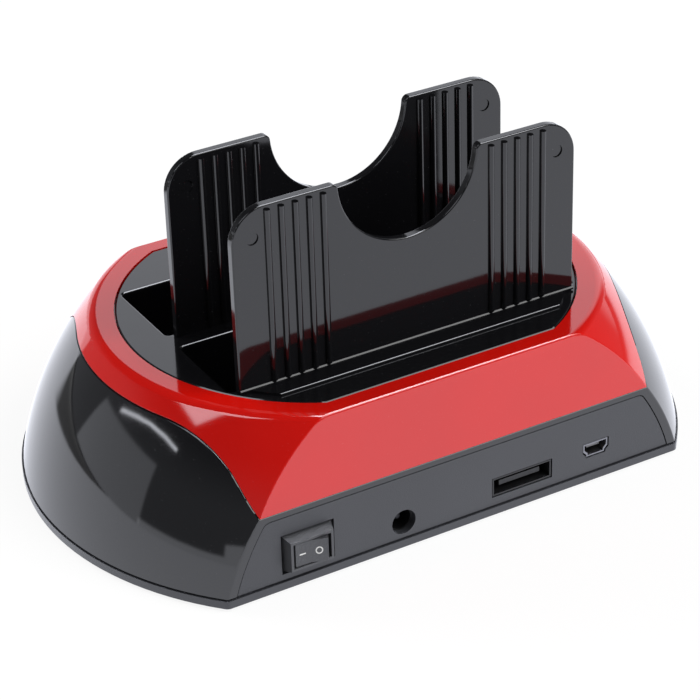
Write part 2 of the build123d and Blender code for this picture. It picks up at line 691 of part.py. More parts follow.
def guard_rib(x):
    """Half round rib that runs from the deck to just under the top edge of a plate."""
    low = DECK_TOP + RAIL_HEIGHT + RIDGE_HEIGHT + FIT
    top = GUARD_TOP - RIB_TOP_GAP
    corner_x = GUARD_WIDTH / 2 - GUARD_CORNER_RADIUS
    near_half = Pos(0, -RIB_HEIGHT / 2) * Rectangle(RIB_WIDTH, RIB_HEIGHT)
    section = Ellipse(RIB_WIDTH / 2, RIB_HEIGHT) & near_half
    drop = max(abs(x) - corner_x, 0) / 2
    return extrude(Pos(x, 0, low) * section, top - drop - low)


def sata_connector(slot_y):
    """Upright drive connector with its two keyed slots and its guide horns."""
    y = guard_back(slot_y) + SATA_FROM_GUARD
    low = BAY_BOARD_Z + BOARD_THICK
    top = low + SATA_HEIGHT
    half = SATA_LENGTH / 2
    deep = SATA_DEPTH / 2
    body = span(SATA_X - half, SATA_X + half, y - deep, y + deep, low, top)
    body = chamfer(body.edges().group_by(Axis.Z)[-1], SATA_EDGE)
    wall = (SATA_LENGTH - SATA_SIGNAL_SLOT - SATA_POWER_SLOT) / 3
    x = SATA_X - half + wall
    for length in (SATA_POWER_SLOT, SATA_SIGNAL_SLOT):
        thin = SATA_SLOT_WIDTH / 2
        body -= span(x, x + length, y - thin, y + thin, top - SATA_SLOT_DEPTH, top)
        body -= span(x, x + SATA_KEY, y - thin, y + thin + SATA_KEY, top - SATA_SLOT_DEPTH, top)
        x += length + wall
    return body


def bay_board():
    """Board under the wells that carries the two drive connectors."""
    low_y = guard_back(SLOT_CENTRES[0]) - GUARD_THICK - WELL_WALL + BAY_BOARD_MARGIN
    high_y = SLOT_CENTRES[1] + SLOT_WIDTH / 2 + WELL_WALL - BAY_BOARD_MARGIN
    half = BAY_BOARD_HALF_WIDTH
    board = span(-half, half, low_y, high_y, BAY_BOARD_Z, BAY_BOARD_Z + BOARD_THICK)
    for x, y in bay_posts():
        board -= upright(BOARD_SCREW_RADIUS, x, y, BAY_BOARD_Z, BAY_BOARD_Z + BOARD_THICK)
    return board


def board_screw(x, y, face_z, direction):
    """Pan head screw whose head lies on a board face and whose shank points down or up."""
    head_end = face_z + direction * BOARD_SCREW_HEAD_HEIGHT
    tip = face_z - direction * (BOARD_THICK + BOARD_SCREW_GRIP)
    head = upright(BOARD_SCREW_HEAD_RADIUS, x, y, *sorted((face_z, head_end)))
    shank = upright(BOARD_SCREW_RADIUS - FIT / 2, x, y, *sorted((face_z, tip)))
    return head + shank - cross_recess(x, y, head_end, BOARD_SCREW_HEAD_RADIUS)


def bay_board_screws():
    """Four screws from below that hold the bay board to the wells."""
    return [board_screw(x, y, BAY_BOARD_Z, -1) for x, y in bay_posts()]


def main_board_screws():
    """Four screws from above that hold the main board to the tray."""
    return [board_screw(x, y, MAIN_BOARD_TOP, 1) for x, y in main_board_spots()]


def main_board():
    """Main board with its notches for the switch, the power jack and the eSATA socket."""
    half = MAIN_BOARD_HALF_WIDTH
    deep = MAIN_BOARD_HALF_DEPTH
    board = span(-half, half, -deep, deep, MAIN_BOARD_Z, MAIN_BOARD_TOP)
    switch_edge = SWITCH_X + POCKET_WIDTH / 2 + 2
    board -= span(-FAR, switch_edge, -FAR, SWITCH_BACK, 0, FAR)
    jack_half = JACK_WIDTH / 2 + FIT
    board -= span(JACK_X - jack_half, JACK_X + jack_half, -FAR, -PANEL_BACK + JACK_DEPTH + FIT, 0, FAR)
    esata_half = ESATA_WIDTH / 2 + FIT
    board -= span(ESATA_X - esata_half, ESATA_X + esata_half, -FAR, -PANEL_BACK + ESATA_DEPTH, 0, FAR)
    for x, y in main_board_spots():
        board -= upright(BOARD_SCREW_RADIUS, x, y, MAIN_BOARD_Z, MAIN_BOARD_TOP)
    return board


def board_header():
    """Pin header that joins the main board to the bay board."""
    x, y = HEADER_SPOT
    half = HEADER_PINS * HEADER_PITCH / 2
    deep = HEADER_PITCH / 2
    base_top = MAIN_BOARD_TOP + HEADER_BASE
    base = span(x - half, x + half, y - deep, y + deep, MAIN_BOARD_TOP, base_top)
    pins = []
    for i in range(HEADER_PINS):
        pin_x = x - half + (i + 0.5) * HEADER_PITCH
        thin = HEADER_PIN_HALF
        low = MAIN_BOARD_TOP + HEADER_BASE
        pins.append(span(pin_x - thin, pin_x + thin, y - thin, y + thin, low, BAY_BOARD_Z))
    return base + pins


def capacitors():
    """Electrolytic capacitors with their square bases."""
    cans = []
    for x, y in CAPACITOR_SPOTS:
        r = CAPACITOR_RADIUS
        base_top = MAIN_BOARD_TOP + CAPACITOR_BASE
        base = span(x - r, x + r, y - r, y + r, MAIN_BOARD_TOP, base_top)
        can = upright(r - CAN_GAP, x, y, base_top, MAIN_BOARD_TOP + CAPACITOR_HEIGHT)
        can = fillet(can.edges().group_by(Axis.Z)[-1], CAN_EDGE)
        cans.append(base + can)
    return cans


def bridge_chips():
    """Flat chips on the main board."""
    return [
        span(x - s / 2, x + s / 2, y - s / 2, y + s / 2, MAIN_BOARD_TOP, MAIN_BOARD_TOP + CHIP_HEIGHT)
        for x, y, s in CHIP_SPOTS
    ]


def power_inductor():
    """Shielded inductor with bevelled corners."""
    x, y = INDUCTOR_SPOT
    s = INDUCTOR_SIZE / 2
    top = MAIN_BOARD_TOP + INDUCTOR_HEIGHT
    block = span(x - s, x + s, y - s, y + s, MAIN_BOARD_TOP, top)
    return chamfer(block.edges().filter_by(Axis.Z), INDUCTOR_SIZE / 5)


def crystal():
    """Oval crystal can lying on the main board."""
    x, y = CRYSTAL_SPOT
    outline = Pos(x, y, MAIN_BOARD_TOP) * SlotOverall(CRYSTAL_LENGTH, CRYSTAL_WIDTH)
    can = extrude(outline, CRYSTAL_HEIGHT)
    return fillet(can.edges().group_by(Axis.Z)[-1], CAN_EDGE)


def panel_blank(side):
    """Panel plate that fills the window on one long side."""
    zone = rounded_zone(PANEL_MARGIN + PANEL_GAP, side, PANEL_TOP_Z - PANEL_GAP)
    return zone & span(-FAR, FAR, -PANEL_FACE, PANEL_FACE, 0, FAR)


def connector_panel():
    """Panel with the switch pocket and the openings for the sockets."""
    panel = panel_blank(-1)
    face = -PANEL_FACE
    half_w, half_h = POCKET_WIDTH / 2, POCKET_HEIGHT / 2
    pocket = span(SWITCH_X - half_w, SWITCH_X + half_w, face - 1, face + POCKET_DEPTH,
                  SWITCH_Z - half_h, SWITCH_Z + half_h)
    hole_w, hole_h = SWITCH_BODY_WIDTH / 2 + FIT / 2, SWITCH_BODY_HEIGHT / 2 + FIT / 2
    hole = span(SWITCH_X - hole_w, SWITCH_X + hole_w, -FAR, 0, SWITCH_Z - hole_h, SWITCH_Z + hole_h)
    panel = panel - pocket - hole
    panel -= along_y(JACK_HOLE_RADIUS, JACK_X, JACK_Z, -FAR, 0)
    panel -= socket_cut(ESATA_X, ESATA_Z, ESATA_WIDTH, ESATA_HEIGHT, -1)
    panel -= extrude(Plane.XZ * mini_usb_outline(SOCKET_GAP), FAR)
    return panel


def socket_cut(x, z, width, height, side):
    """Opening for a socket with a small gap round it."""
    half_w, half_h = width / 2 + SOCKET_GAP, height / 2 + SOCKET_GAP
    return span(x - half_w, x + half_w, *sorted((side * FAR, 0)), z - half_h, z + half_h)


def mini_usb_outline(grow):
    """Mini USB outline with its stepped lower corners."""
    w = MINI_USB_WIDTH / 2 + grow
    h = MINI_USB_HEIGHT / 2 + grow
    s = MINI_USB_STEP
    half = [(w, h), (w, -h + 1.6 * s), (w - s, -h + 0.6 * s), (w - s, -h)]
    points = [(-x, z) for x, z in half] + half[::-1]
    return Pos(MINI_USB_X, MINI_USB_Z) * Polygon(*points, align=None)


def switch_housing():
    """Switch body with its tapered bezel, the well for the rocker and two pivot holes."""
    seat = -PANEL_FACE + POCKET_DEPTH
    front = -FACE_HALF_DEPTH - BEZEL_PROUD
    base = Plane.XZ.offset(-seat) * Pos(SWITCH_X, SWITCH_Z) * Rectangle(BEZEL_WIDTH, BEZEL_HEIGHT)
    small = Rectangle(BEZEL_WIDTH - 2 * BEZEL_TAPER, BEZEL_HEIGHT - 2 * BEZEL_TAPER)
    face = Plane.XZ.offset(-front) * Pos(SWITCH_X, SWITCH_Z) * small
    bezel = loft([base, face])
    half_w, half_h = SWITCH_BODY_WIDTH / 2, SWITCH_BODY_HEIGHT / 2
    back = -PANEL_BACK + SWITCH_BODY_DEPTH
    low, high = SWITCH_Z - half_h, SWITCH_Z + half_h
    body = span(SWITCH_X - half_w, SWITCH_X + half_w, seat, back, low, high)
    well_w = ROCKER_RADIUS + ROCKER_GAP
    well_h = ROCKER_HEIGHT / 2 + ROCKER_GAP
    well_back = rocker_axis_y() + ROCKER_RADIUS + ROCKER_GAP
    left, right = SWITCH_X - well_w, SWITCH_X + well_w
    well = span(left, right, -FAR, well_back, SWITCH_Z - well_h, SWITCH_Z + well_h)
    hole_reach = ROCKER_HEIGHT / 2 + TRUNNION_LENGTH + FIT
    hole_low, hole_high = SWITCH_Z - hole_reach, SWITCH_Z + hole_reach
    hole_radius = TRUNNION_RADIUS + TRUNNION_CLEARANCE
    holes = upright(hole_radius, SWITCH_X, rocker_axis_y(), hole_low, hole_high)
    return bezel + body - well - holes


def rocker_axis_y():
    """Depth of the rocker's pivot."""
    return -FACE_HALF_DEPTH - ROCKER_PIVOT_PROUD


def switch_rocker():
    """Rocker with a dished face and round ends, tipped to its off position."""
    angle = radians(ROCKER_CORNER_ANGLE)
    x = ROCKER_RADIUS * cos(angle)
    y = -ROCKER_RADIUS * sin(angle)
    floor_y = ROCKER_RADIUS * sin(angle)
    outline = make_face([
        Line((-x, y), (0, y + ROCKER_DISH)),
        Line((0, y + ROCKER_DISH), (x, y)),
        ThreePointArc((x, y), (ROCKER_RADIUS, 0), (x, floor_y)),
        Line((x, floor_y), (-x, floor_y)),
        ThreePointArc((-x, floor_y), (-ROCKER_RADIUS, 0), (-x, y)),
    ])
    body = extrude(outline, ROCKER_HEIGHT / 2, both=True)
    reach = ROCKER_HEIGHT / 2 + TRUNNION_LENGTH
    body += upright(TRUNNION_RADIUS, 0, 0, -reach, reach)
    return Pos(SWITCH_X, rocker_axis_y(), SWITCH_Z) * Rot(0, 0, ROCKER_TILT) * body


def switch_terminals():
    """Two blade terminals at the back of the switch."""
    back = -PANEL_BACK + SWITCH_BODY_DEPTH
    blades = []
    for sign in SIGNS:
        x = SWITCH_X + sign * TERMINAL_OFFSET
        thin, wide = TERMINAL_THICK / 2, TERMINAL_WIDTH / 2
        low, high = SWITCH_Z - wide, SWITCH_Z + wide
        blades.append(span(x - thin, x + thin, back, back + TERMINAL_LENGTH, low, high))
    return blades


def dc_jack():
    """Power jack body with its bore and the two wings that rest on the board."""
    half_w, half_h = JACK_WIDTH / 2, JACK_HEIGHT / 2
    front = -PANEL_BACK
    low, high = JACK_Z - half_h, JACK_Z + half_h
    body = span(JACK_X - half_w, JACK_X + half_w, front, front + JACK_DEPTH, low, high)
    wing_w = half_w + JACK_WING
    wing_front = front + JACK_WING_FRONT
    wing_top = MAIN_BOARD_TOP + JACK_WING_THICK
    wing_left, wing_right = JACK_X - wing_w, JACK_X + wing_w
    body += span(wing_left, wing_right, wing_front, front + JACK_DEPTH, MAIN_BOARD_TOP, wing_top)
    body -= along_y(JACK_BORE_RADIUS, JACK_X, JACK_Z, front - 1, front + JACK_BORE_DEPTH)
    return body


def dc_jack_pin():
    """Centre pin of the power jack with its rounded tip."""
    back = -PANEL_BACK + JACK_BORE_DEPTH
    pin = along_y(JACK_PIN_RADIUS, JACK_X, JACK_Z, back - JACK_PIN_LENGTH, back)
    return fillet(pin.edges().group_by(Axis.Y)[0], JACK_PIN_RADIUS * 0.7)


def socket_shell(x, z, width, height, side, depth):
    """Thin metal shell of a socket, open at the panel face and closed at the back."""
    front, back = PANEL_FACE - FIT, PANEL_BACK - depth
    half_w, half_h = width / 2, height / 2
    y0, y1 = sorted((side * front, side * back))
    shell = span(x - half_w, x + half_w, y0, y1, z - half_h, z + half_h)
    in_w, in_h = half_w - SOCKET_SKIN, half_h - SOCKET_SKIN
    y0, y1 = sorted((side * (front + 1), side * (back + SOCKET_SKIN)))
    return shell - span(x - in_w, x + in_w, y0, y1, z - in_h, z + in_h)


def esata_shell():
    """Shell of the external drive socket with ears that rest on the board."""
    depth = ESATA_DEPTH - 2 * FIT
    shell = socket_shell(ESATA_X, ESATA_Z, ESATA_WIDTH, ESATA_HEIGHT, -1, depth)
    for sign in SIGNS:
        edge = ESATA_X + sign * ESATA_WIDTH / 2
        ear_front = -PANEL_BACK + EAR_FRONT
        shell += span(*sorted((edge, edge + sign * EAR_WIDTH)), ear_front, ear_front + EAR_LENGTH,
                      MAIN_BOARD_TOP, MAIN_BOARD_TOP + SOCKET_SKIN)
    return shell


def esata_tongue():
    """Plastic tongue of the external drive socket with its block at the back."""
    back = -PANEL_BACK + ESATA_DEPTH - 2 * FIT - SOCKET_SKIN
    wide, thin = ESATA_TONGUE_WIDTH / 2, ESATA_TONGUE_THICK / 2
    front = -PANEL_FACE + TONGUE_SINK
    tongue = span(ESATA_X - wide, ESATA_X + wide, front, back, ESATA_Z - thin, ESATA_Z + thin)
    block_w = ESATA_WIDTH / 2 - SOCKET_SKIN
    block_h = ESATA_HEIGHT / 2 - SOCKET_SKIN
    left, right = ESATA_X - block_w, ESATA_X + block_w
    return tongue + span(left, right, back - ESATA_BLOCK, back, ESATA_Z - block_h, ESATA_Z + block_h)


def mini_usb_shell():
    """Stepped metal shell of the mini USB socket with its board legs."""
    back = PANEL_BACK - MINI_USB_DEPTH
    length = PANEL_FACE - FIT - back
    outer = extrude(Plane.XZ.offset(back) * mini_usb_outline(0), length)
    inner = extrude(Plane.XZ.offset(back + SOCKET_SKIN) * mini_usb_outline(-SOCKET_SKIN), length)
    shell = outer - inner
    low = MINI_USB_Z - MINI_USB_HEIGHT / 2
    leg_back = -back - MINI_USB_LEG
    for sign in SIGNS:
        x = MINI_USB_X + sign * (MINI_USB_WIDTH / 2 - MINI_USB_STEP - MINI_USB_LEG)
        left, right = x - MINI_USB_LEG / 2, x + MINI_USB_LEG / 2
        leg_front = leg_back - 3 * MINI_USB_LEG
        shell += span(left, right, leg_front, leg_back, MAIN_BOARD_TOP, low + SOCKET_SKIN / 2)
    return shell


def mini_usb_tongue():
    """Plastic tongue inside the mini USB socket."""
    back = -PANEL_BACK + MINI_USB_DEPTH - SOCKET_SKIN
    wide = MINI_USB_WIDTH / 2 - 2 * SOCKET_SKIN - MINI_USB_STEP
    z = MINI_USB_Z + MINI_USB_TONGUE_RISE
    thin = MINI_USB_TONGUE_THICK / 2
    left, right = MINI_USB_X - wide, MINI_USB_X + wide
    tongue = span(left, right, -PANEL_FACE + TONGUE_SINK, back, z - thin, z + thin)
    high = MINI_USB_HEIGHT / 2 - SOCKET_SKIN
    front = back - MINI_USB_BLOCK
    return tongue + span(left, right, front, back, MINI_USB_Z - high, MINI_USB_Z + high)


def front_panel():
    """Panel on the user's side with its button, lamp, socket and card openings."""
    panel = panel_blank(1)
    panel -= along_y(BUTTON_RADIUS + BUTTON_GAP, BUTTON_X, BUTTON_Z, 0, FAR)
    for x in LED_XS:
        panel -= along_y(LED_RADIUS, x, LED_Z, 0, FAR)
    for x in USB_XS:
        panel -= socket_cut(x, usb_z(), USB_WIDTH, USB_HEIGHT, 1)
    half_w, half_h = CARD_SLOT_WIDTH / 2, CARD_SLOT_HEIGHT / 2
    left, right = CARD_X - half_w, CARD_X + half_w
    panel -= span(left, right, 0, FAR, card_z() - half_h, card_z() + half_h)
    return panel


def usb_z():
    """Height of the middle of the USB A sockets."""
    return MAIN_BOARD_TOP + USB_HEIGHT / 2


def card_z():
    """Height of the middle of the card socket."""
    return MAIN_BOARD_TOP + CARD_HEIGHT / 2


def usb_tongue(x):
    """Plastic tongue in the upper half of a USB A socket."""
    back = PANEL_BACK - USB_DEPTH + SOCKET_SKIN
    wide = USB_TONGUE_WIDTH / 2
    top = usb_z() + USB_HEIGHT / 2 - SOCKET_SKIN - USB_TONGUE_GAP
    tongue = span(x - wide, x + wide, back, PANEL_FACE - TONGUE_SINK, top - USB_TONGUE_THICK, top)
    block_h = USB_HEIGHT / 2 - SOCKET_SKIN
    low, high = usb_z() - block_h, usb_z() + block_h
    return tongue + span(x - wide, x + wide, back, back + USB_BLOCK, low, high)


def card_socket():
    """Flat card socket, open towards the panel."""
    half = CARD_WIDTH / 2
    back = CARD_BACK
    top = MAIN_BOARD_TOP + CARD_HEIGHT
    body = span(CARD_X - half, CARD_X + half, back, PANEL_BACK, MAIN_BOARD_TOP, top)
    half_w, half_h = CARD_SLOT_WIDTH / 2, CARD_SLOT_HEIGHT / 2
    slot_back = back + CARD_BACK_WALL
    left, right = CARD_X - half_w, CARD_X + half_w
    return body - span(left, right, slot_back, FAR, card_z() - half_h, card_z() + half_h)


def backup_button():
    """Round button with a flange behind the panel and a stem that works the switch."""
    front = PANEL_FACE + BUTTON_PROUD
    cap = along_y(BUTTON_RADIUS, BUTTON_X, BUTTON_Z, PANEL_BACK - BUTTON_FLANGE, front)
    cap = fillet(cap.edges().group_by(Axis.Y)[-1], BUTTON_EDGE)
    flange_front = PANEL_BACK - FIT
    stem_front = flange_front - BUTTON_FLANGE
    stem_back = stem_front - BUTTON_STEM_LENGTH
    flange = along_y(BUTTON_RADIUS + BUTTON_FLANGE, BUTTON_X, BUTTON_Z, stem_front, flange_front)
    return cap + flange + along_y(BUTTON_STEM_RADIUS, BUTTON_X, BUTTON_Z, stem_back, stem_front)


def button_switch():
    """Small push switch on the main board, with the well that the button's stem enters."""
    stem_back = PANEL_BACK - FIT - BUTTON_FLANGE - BUTTON_STEM_LENGTH
    front = stem_back + BUTTON_SWITCH_GRIP
    back = front - BUTTON_SWITCH_DEPTH
    half = BUTTON_SWITCH_SIZE / 2
    top = BUTTON_Z + half
    body = span(BUTTON_X - half, BUTTON_X + half, back, front, MAIN_BOARD_TOP, top)
    bore_back = stem_back - BUTTON_TRAVEL - BUTTON_GAP
    return body - along_y(BUTTON_STEM_RADIUS + BUTTON_GAP, BUTTON_X, BUTTON_Z, bore_back, FAR)


def led_lenses():
    """Three lamp lenses with low domes, pressed into the front panel."""
    lenses = []
    for x in LED_XS:
        lens = along_y(LED_RADIUS, x, LED_Z, PANEL_FACE - LED_LENGTH, PANEL_FACE + LED_PROUD)
        lens = fillet(lens.edges().group_by(Axis.Y)[-1], LED_PROUD * 0.8)
        lenses.append(lens)
    return lenses


def build_parts():
    """Every sub-part by name."""
    parts = {
        "base_tray": base_tray(),
        "rubber_feet": rubber_feet(),
        "base_screws": base_screws(),
        "body_shell": body_shell(),
        "top_cover": top_cover(),
        "bay_deck": bay_deck(),
        "bay_board": bay_board(),
        "bay_board_screws": bay_board_screws(),
        "main_board": main_board(),
        "main_board_screws": main_board_screws(),
        "board_header": board_header(),
        "capacitors": capacitors(),
        "bridge_chips": bridge_chips(),
        "power_inductor": power_inductor(),
        "crystal": crystal(),
        "connector_panel": connector_panel(),
        "switch_housing": switch_housing(),
        "switch_rocker": switch_rocker(),
        "switch_terminals": switch_terminals(),
        "dc_jack": dc_jack(),
        "dc_jack_pin": dc_jack_pin(),
        "esata_shell": esata_shell(),
        "esata_tongue": esata_tongue(),
        "mini_usb_shell": mini_usb_shell(),
        "mini_usb_tongue": mini_usb_tongue(),
        "front_panel": front_panel(),
        "card_socket": card_socket(),
        "backup_button": backup_button(),
        "button_switch": button_switch(),
        "led_lenses": led_lenses(),
    }
    for number, slot_y in enumerate(SLOT_CENTRES, 1):
        parts[f"guard_plate_{number}"] = guard_plate(slot_y)
        parts[f"sata_connector_{number}"] = sata_connector(slot_y)
    for number, x in enumerate(USB_XS, 1):
        parts[f"usb_shell_{number}"] = socket_shell(x, usb_z(), USB_WIDTH, USB_HEIGHT, 1, USB_DEPTH)
        parts[f"usb_tongue_{number}"] = usb_tongue(x)
    return parts


def write_parts(parts):
    """One STEP file per sub-part."""
    os.makedirs("parts", exist_ok=True)
    for name, shape in parts.items():
        solids = shape if isinstance(shape, list) else shape.solids()
        found = Compound(children=list(solids)) if len(solids) > 1 else solids[0]
        export_step(found, f"parts/{name}.step")


write_parts(build_parts())
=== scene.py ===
import json
import math

import bmesh
import bpy
from bpy.props import FloatProperty, FloatVectorProperty, IntProperty, PointerProperty
from mathutils import Matrix, Vector

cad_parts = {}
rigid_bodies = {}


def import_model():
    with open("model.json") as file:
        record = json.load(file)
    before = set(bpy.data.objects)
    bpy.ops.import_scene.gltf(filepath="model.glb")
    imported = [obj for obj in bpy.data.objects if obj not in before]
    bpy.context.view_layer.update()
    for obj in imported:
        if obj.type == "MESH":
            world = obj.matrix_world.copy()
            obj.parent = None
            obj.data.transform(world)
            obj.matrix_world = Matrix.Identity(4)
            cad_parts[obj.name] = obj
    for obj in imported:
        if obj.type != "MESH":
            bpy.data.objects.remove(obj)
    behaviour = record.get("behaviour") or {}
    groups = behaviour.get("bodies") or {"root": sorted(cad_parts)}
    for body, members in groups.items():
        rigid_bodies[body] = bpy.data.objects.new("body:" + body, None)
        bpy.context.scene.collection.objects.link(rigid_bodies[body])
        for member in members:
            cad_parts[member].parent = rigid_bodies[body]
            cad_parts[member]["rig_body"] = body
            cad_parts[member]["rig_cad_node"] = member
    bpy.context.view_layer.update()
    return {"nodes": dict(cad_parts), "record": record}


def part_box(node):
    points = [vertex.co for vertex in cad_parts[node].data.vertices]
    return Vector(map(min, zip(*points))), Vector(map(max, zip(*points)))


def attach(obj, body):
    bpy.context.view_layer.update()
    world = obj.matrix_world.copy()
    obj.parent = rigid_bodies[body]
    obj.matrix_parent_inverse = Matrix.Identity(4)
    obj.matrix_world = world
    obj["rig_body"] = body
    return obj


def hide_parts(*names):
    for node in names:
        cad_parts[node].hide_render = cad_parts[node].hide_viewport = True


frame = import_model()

bl_info = {
    "name": "Drive dock dressing",
    "version": (1, 0, 0),
    "blender": (4, 5, 0),
    "location": "View3D > Sidebar > Dock",
    "description": "Finishes, fine metal pieces, marks, stage and camera for a docking station",
    "category": "Object",
}

MM = 0.001


# Settings that a user would change

class DockFinishSettings(bpy.types.PropertyGroup):
    """Colours and gloss of the moulded plastics"""
    red: FloatVectorProperty(
        name="Cover red", description="Colour of the upper cover", subtype="COLOR",
        size=3, min=0, max=1, default=(0.63, 0.006, 0.003))
    black: FloatVectorProperty(
        name="Gloss black", description="Colour of the polished black pieces", subtype="COLOR",
        size=3, min=0, max=1, default=(0.006, 0.006, 0.007))
    panel: FloatVectorProperty(
        name="Panel grey", description="Colour of the satin panels", subtype="COLOR",
        size=3, min=0, max=1, default=(0.033, 0.034, 0.039))
    red_roughness: FloatProperty(
        name="Red roughness", description="Roughness of the upper cover",
        min=0, max=1, default=0.06)
    black_roughness: FloatProperty(
        name="Black roughness", description="Roughness of the polished black pieces",
        min=0, max=1, default=0.05)
    panel_roughness: FloatProperty(
        name="Panel roughness", description="Roughness of the satin panels",
        min=0, max=1, default=0.42)
    smooth_angle: FloatProperty(
        name="Smooth angle", description="Edges flatter than this are shaded smooth",
        subtype="ANGLE", default=math.radians(32))


class DockMarkSettings(bpy.types.PropertyGroup):
    """The two marks on the rocker"""
    dash_length: FloatProperty(
        name="Dash length", description="Length of the on mark", unit="LENGTH", default=1.75 * MM)
    dash_width: FloatProperty(
        name="Dash width", description="Stroke of the on mark", unit="LENGTH", default=0.36 * MM)
    ring_radius: FloatProperty(
        name="Ring radius", description="Middle radius of the off mark",
        unit="LENGTH", default=0.82 * MM)
    ring_stroke: FloatProperty(
        name="Ring stroke", description="Stroke of the off mark", unit="LENGTH", default=0.32 * MM)
    paint: FloatProperty(
        name="Paint thickness", description="How far the marks stand off the rocker",
        unit="LENGTH", default=0.04 * MM)
    on_offset: FloatProperty(
        name="On mark place", description="Distance of the on mark from the rocker's middle",
        unit="LENGTH", default=2.35 * MM)
    off_offset: FloatProperty(
        name="Off mark place", description="Distance of the off mark from the rocker's middle",
        unit="LENGTH", default=2.1 * MM)


class DockContactSettings(bpy.types.PropertyGroup):
    """Metal contacts in the sockets"""
    pitch: FloatProperty(
        name="Drive contact pitch", description="Pitch of the contacts in a drive connector",
        unit="LENGTH", default=1.27 * MM)
    width: FloatProperty(
        name="Drive contact width", description="Width of one contact in a drive connector",
        unit="LENGTH", default=0.84 * MM)
    thick: FloatProperty(
        name="Contact thickness", description="Sheet thickness of the contacts",
        unit="LENGTH", default=0.2 * MM)
    usb_count: IntProperty(
        name="USB contacts", description="Contacts on each USB tongue", min=1, default=4)


class DockStageSettings(bpy.types.PropertyGroup):
    """Floor, light and camera"""
    floor_size: FloatProperty(
        name="Floor size", description="Side of the floor", unit="LENGTH", default=12.0)
    floor_albedo: FloatProperty(
        name="Floor shade", description="Part of the floor's white that takes the shadow",
        min=0, max=1, default=0.14)
    floor_glow: FloatProperty(
        name="Floor glow", description="Light that the floor sends up", min=0, default=0.5)
    floor_gloss: FloatProperty(
        name="Floor in reflections", description="Brightness of the table in reflections",
        min=0, default=1.5)
    room_light: FloatProperty(
        name="Room light", description="Even light from the room", min=0, default=0.27)
    room_gloss: FloatProperty(
        name="Room in reflections", description="Brightness of the dark upper room in reflections",
        min=0, default=0.06)
    wall_gloss: FloatProperty(
        name="Wall in reflections",
        description="Brightness of the pale wall behind in reflections", min=0, default=1.25)
    lens: FloatProperty(
        name="Lens", description="Focal length of the camera in millimetres", min=1, default=131.13)
    roll: FloatProperty(
        name="Roll", description="Roll of the camera", subtype="ANGLE", default=-0.032)


# Shader maths

class Value:
    """One output socket that takes part in sums"""

    def __init__(self, graph, socket):
        self.graph = graph
        self.socket = socket

    def maths(self, operation, other, swap=False):
        first, second = (other, self) if swap else (self, other)
        return self.graph.node("ShaderNodeMath", {"operation": operation}, {0: first, 1: second})

    def __add__(self, other):
        return self.maths("ADD", other)

    def __sub__(self, other):
        return self.maths("SUBTRACT", other)

    def __rsub__(self, other):
        return self.maths("SUBTRACT", other, swap=True)

    def __mul__(self, other):
        return self.maths("MULTIPLY", other)

    def above(self, edge):
        return self.maths("GREATER_THAN", edge)

    def below(self, edge):
        return self.maths("LESS_THAN", edge)

    def at_least(self, other):
        return self.maths("MAXIMUM", other)

    def fraction(self):
        return self.graph.node("ShaderNodeMath", {"operation": "FRACT"}, {0: self})

    def ramp(self, low, high):
        """Smooth step from 0 at low to 1 at high"""
        return self.graph.node(
            "ShaderNodeMapRange", {"interpolation_type": "SMOOTHSTEP"},
            {"Value": self, "From Min": low, "From Max": high, "To Min": 0.0, "To Max": 1.0})


class Graph:
    """Nodes of one material or world, each added by type, settings and sockets"""

    def __init__(self, tree):
        self.tree = tree
        self.tree.nodes.clear()

    def node(self, kind, settings=None, inputs=None, out=0):
        made = self.tree.nodes.new(kind)
        for key, value in (settings or {}).items():
            setattr(made, key, value)
        for key, value in (inputs or {}).items():
            socket = made.inputs[key]
            if isinstance(value, Value):
                self.tree.links.new(value.socket, socket)
            else:
                socket.default_value = value
        return Value(self, made.outputs[out]) if made.outputs else None

    def outputs(self, kind, wanted, inputs=None):
        """Several outputs of one node"""
        found = self.node(kind, None, inputs).socket.node.outputs
        return [Value(self, found[name]) for name in wanted]

    def axes(self, place, count):
        """The first coordinates of a place"""
        return self.outputs("ShaderNodeSeparateXYZ", range(count), {"Vector": place})

    def mix(self, factor, first, second):
        """Blend of two colours"""
        return self.node(
            "ShaderNodeMix", {"data_type": "RGBA"}, {0: factor, 6: first, 7: second}, out=2)

    def noise(self, place, scale, detail=2.0, rough=0.5):
        return self.node(
            "ShaderNodeTexNoise", None,
            {"Vector": place, "Scale": scale, "Detail": detail, "Roughness": rough})

    def place(self, kind="Object"):
        return self.node("ShaderNodeTexCoord", out=kind)

    def bump(self, height, distance):
        return self.node(
            "ShaderNodeBump", None, {"Height": height, "Distance": distance, "Strength": 1.0})

    def finish(self, surface, kind="ShaderNodeOutputMaterial"):
        self.node(kind, None, {"Surface": surface})


def colour4(colour, factor=1.0):
    """A colour times a factor, with full alpha"""
    return (*(min(part * factor, 1) for part in colour), 1.0)


def new_graph(name):
    material = bpy.data.materials.new(name)
    material.use_nodes = True
    return material, Graph(material.node_tree)


def polished_plastic(name, colour, roughness, ripple=0.25, index=1.57):
    """Injection moulded plastic from a polished mould, with faint ripple, smudges and dust"""
    material, g = new_graph(name)
    place = g.place()
    broad = g.noise(place, 22.0, 3.0)
    ripples = g.noise(place, 170.0, 1.0)
    fine = g.noise(place, 5200.0, 1.0)
    smudge = broad.ramp(0.42, 0.72)
    dust = g.noise(place, 2300.0, 1.0, 0.4).ramp(0.74, 0.8)
    shade = g.mix(smudge * 0.35, colour4(colour, 0.93), colour4(colour, 1.08))
    shade = g.mix(dust * 0.05, shade, (0.55, 0.55, 0.56, 1.0))
    height = ripples * ripple + fine * 0.012
    surface = g.node("ShaderNodeBsdfPrincipled", None, {
        "Base Color": shade,
        "Roughness": smudge * 0.035 + dust * 0.12 + roughness,
        "IOR": index,
        "Normal": g.bump(height, 0.00002),
    })
    g.finish(surface)
    return material


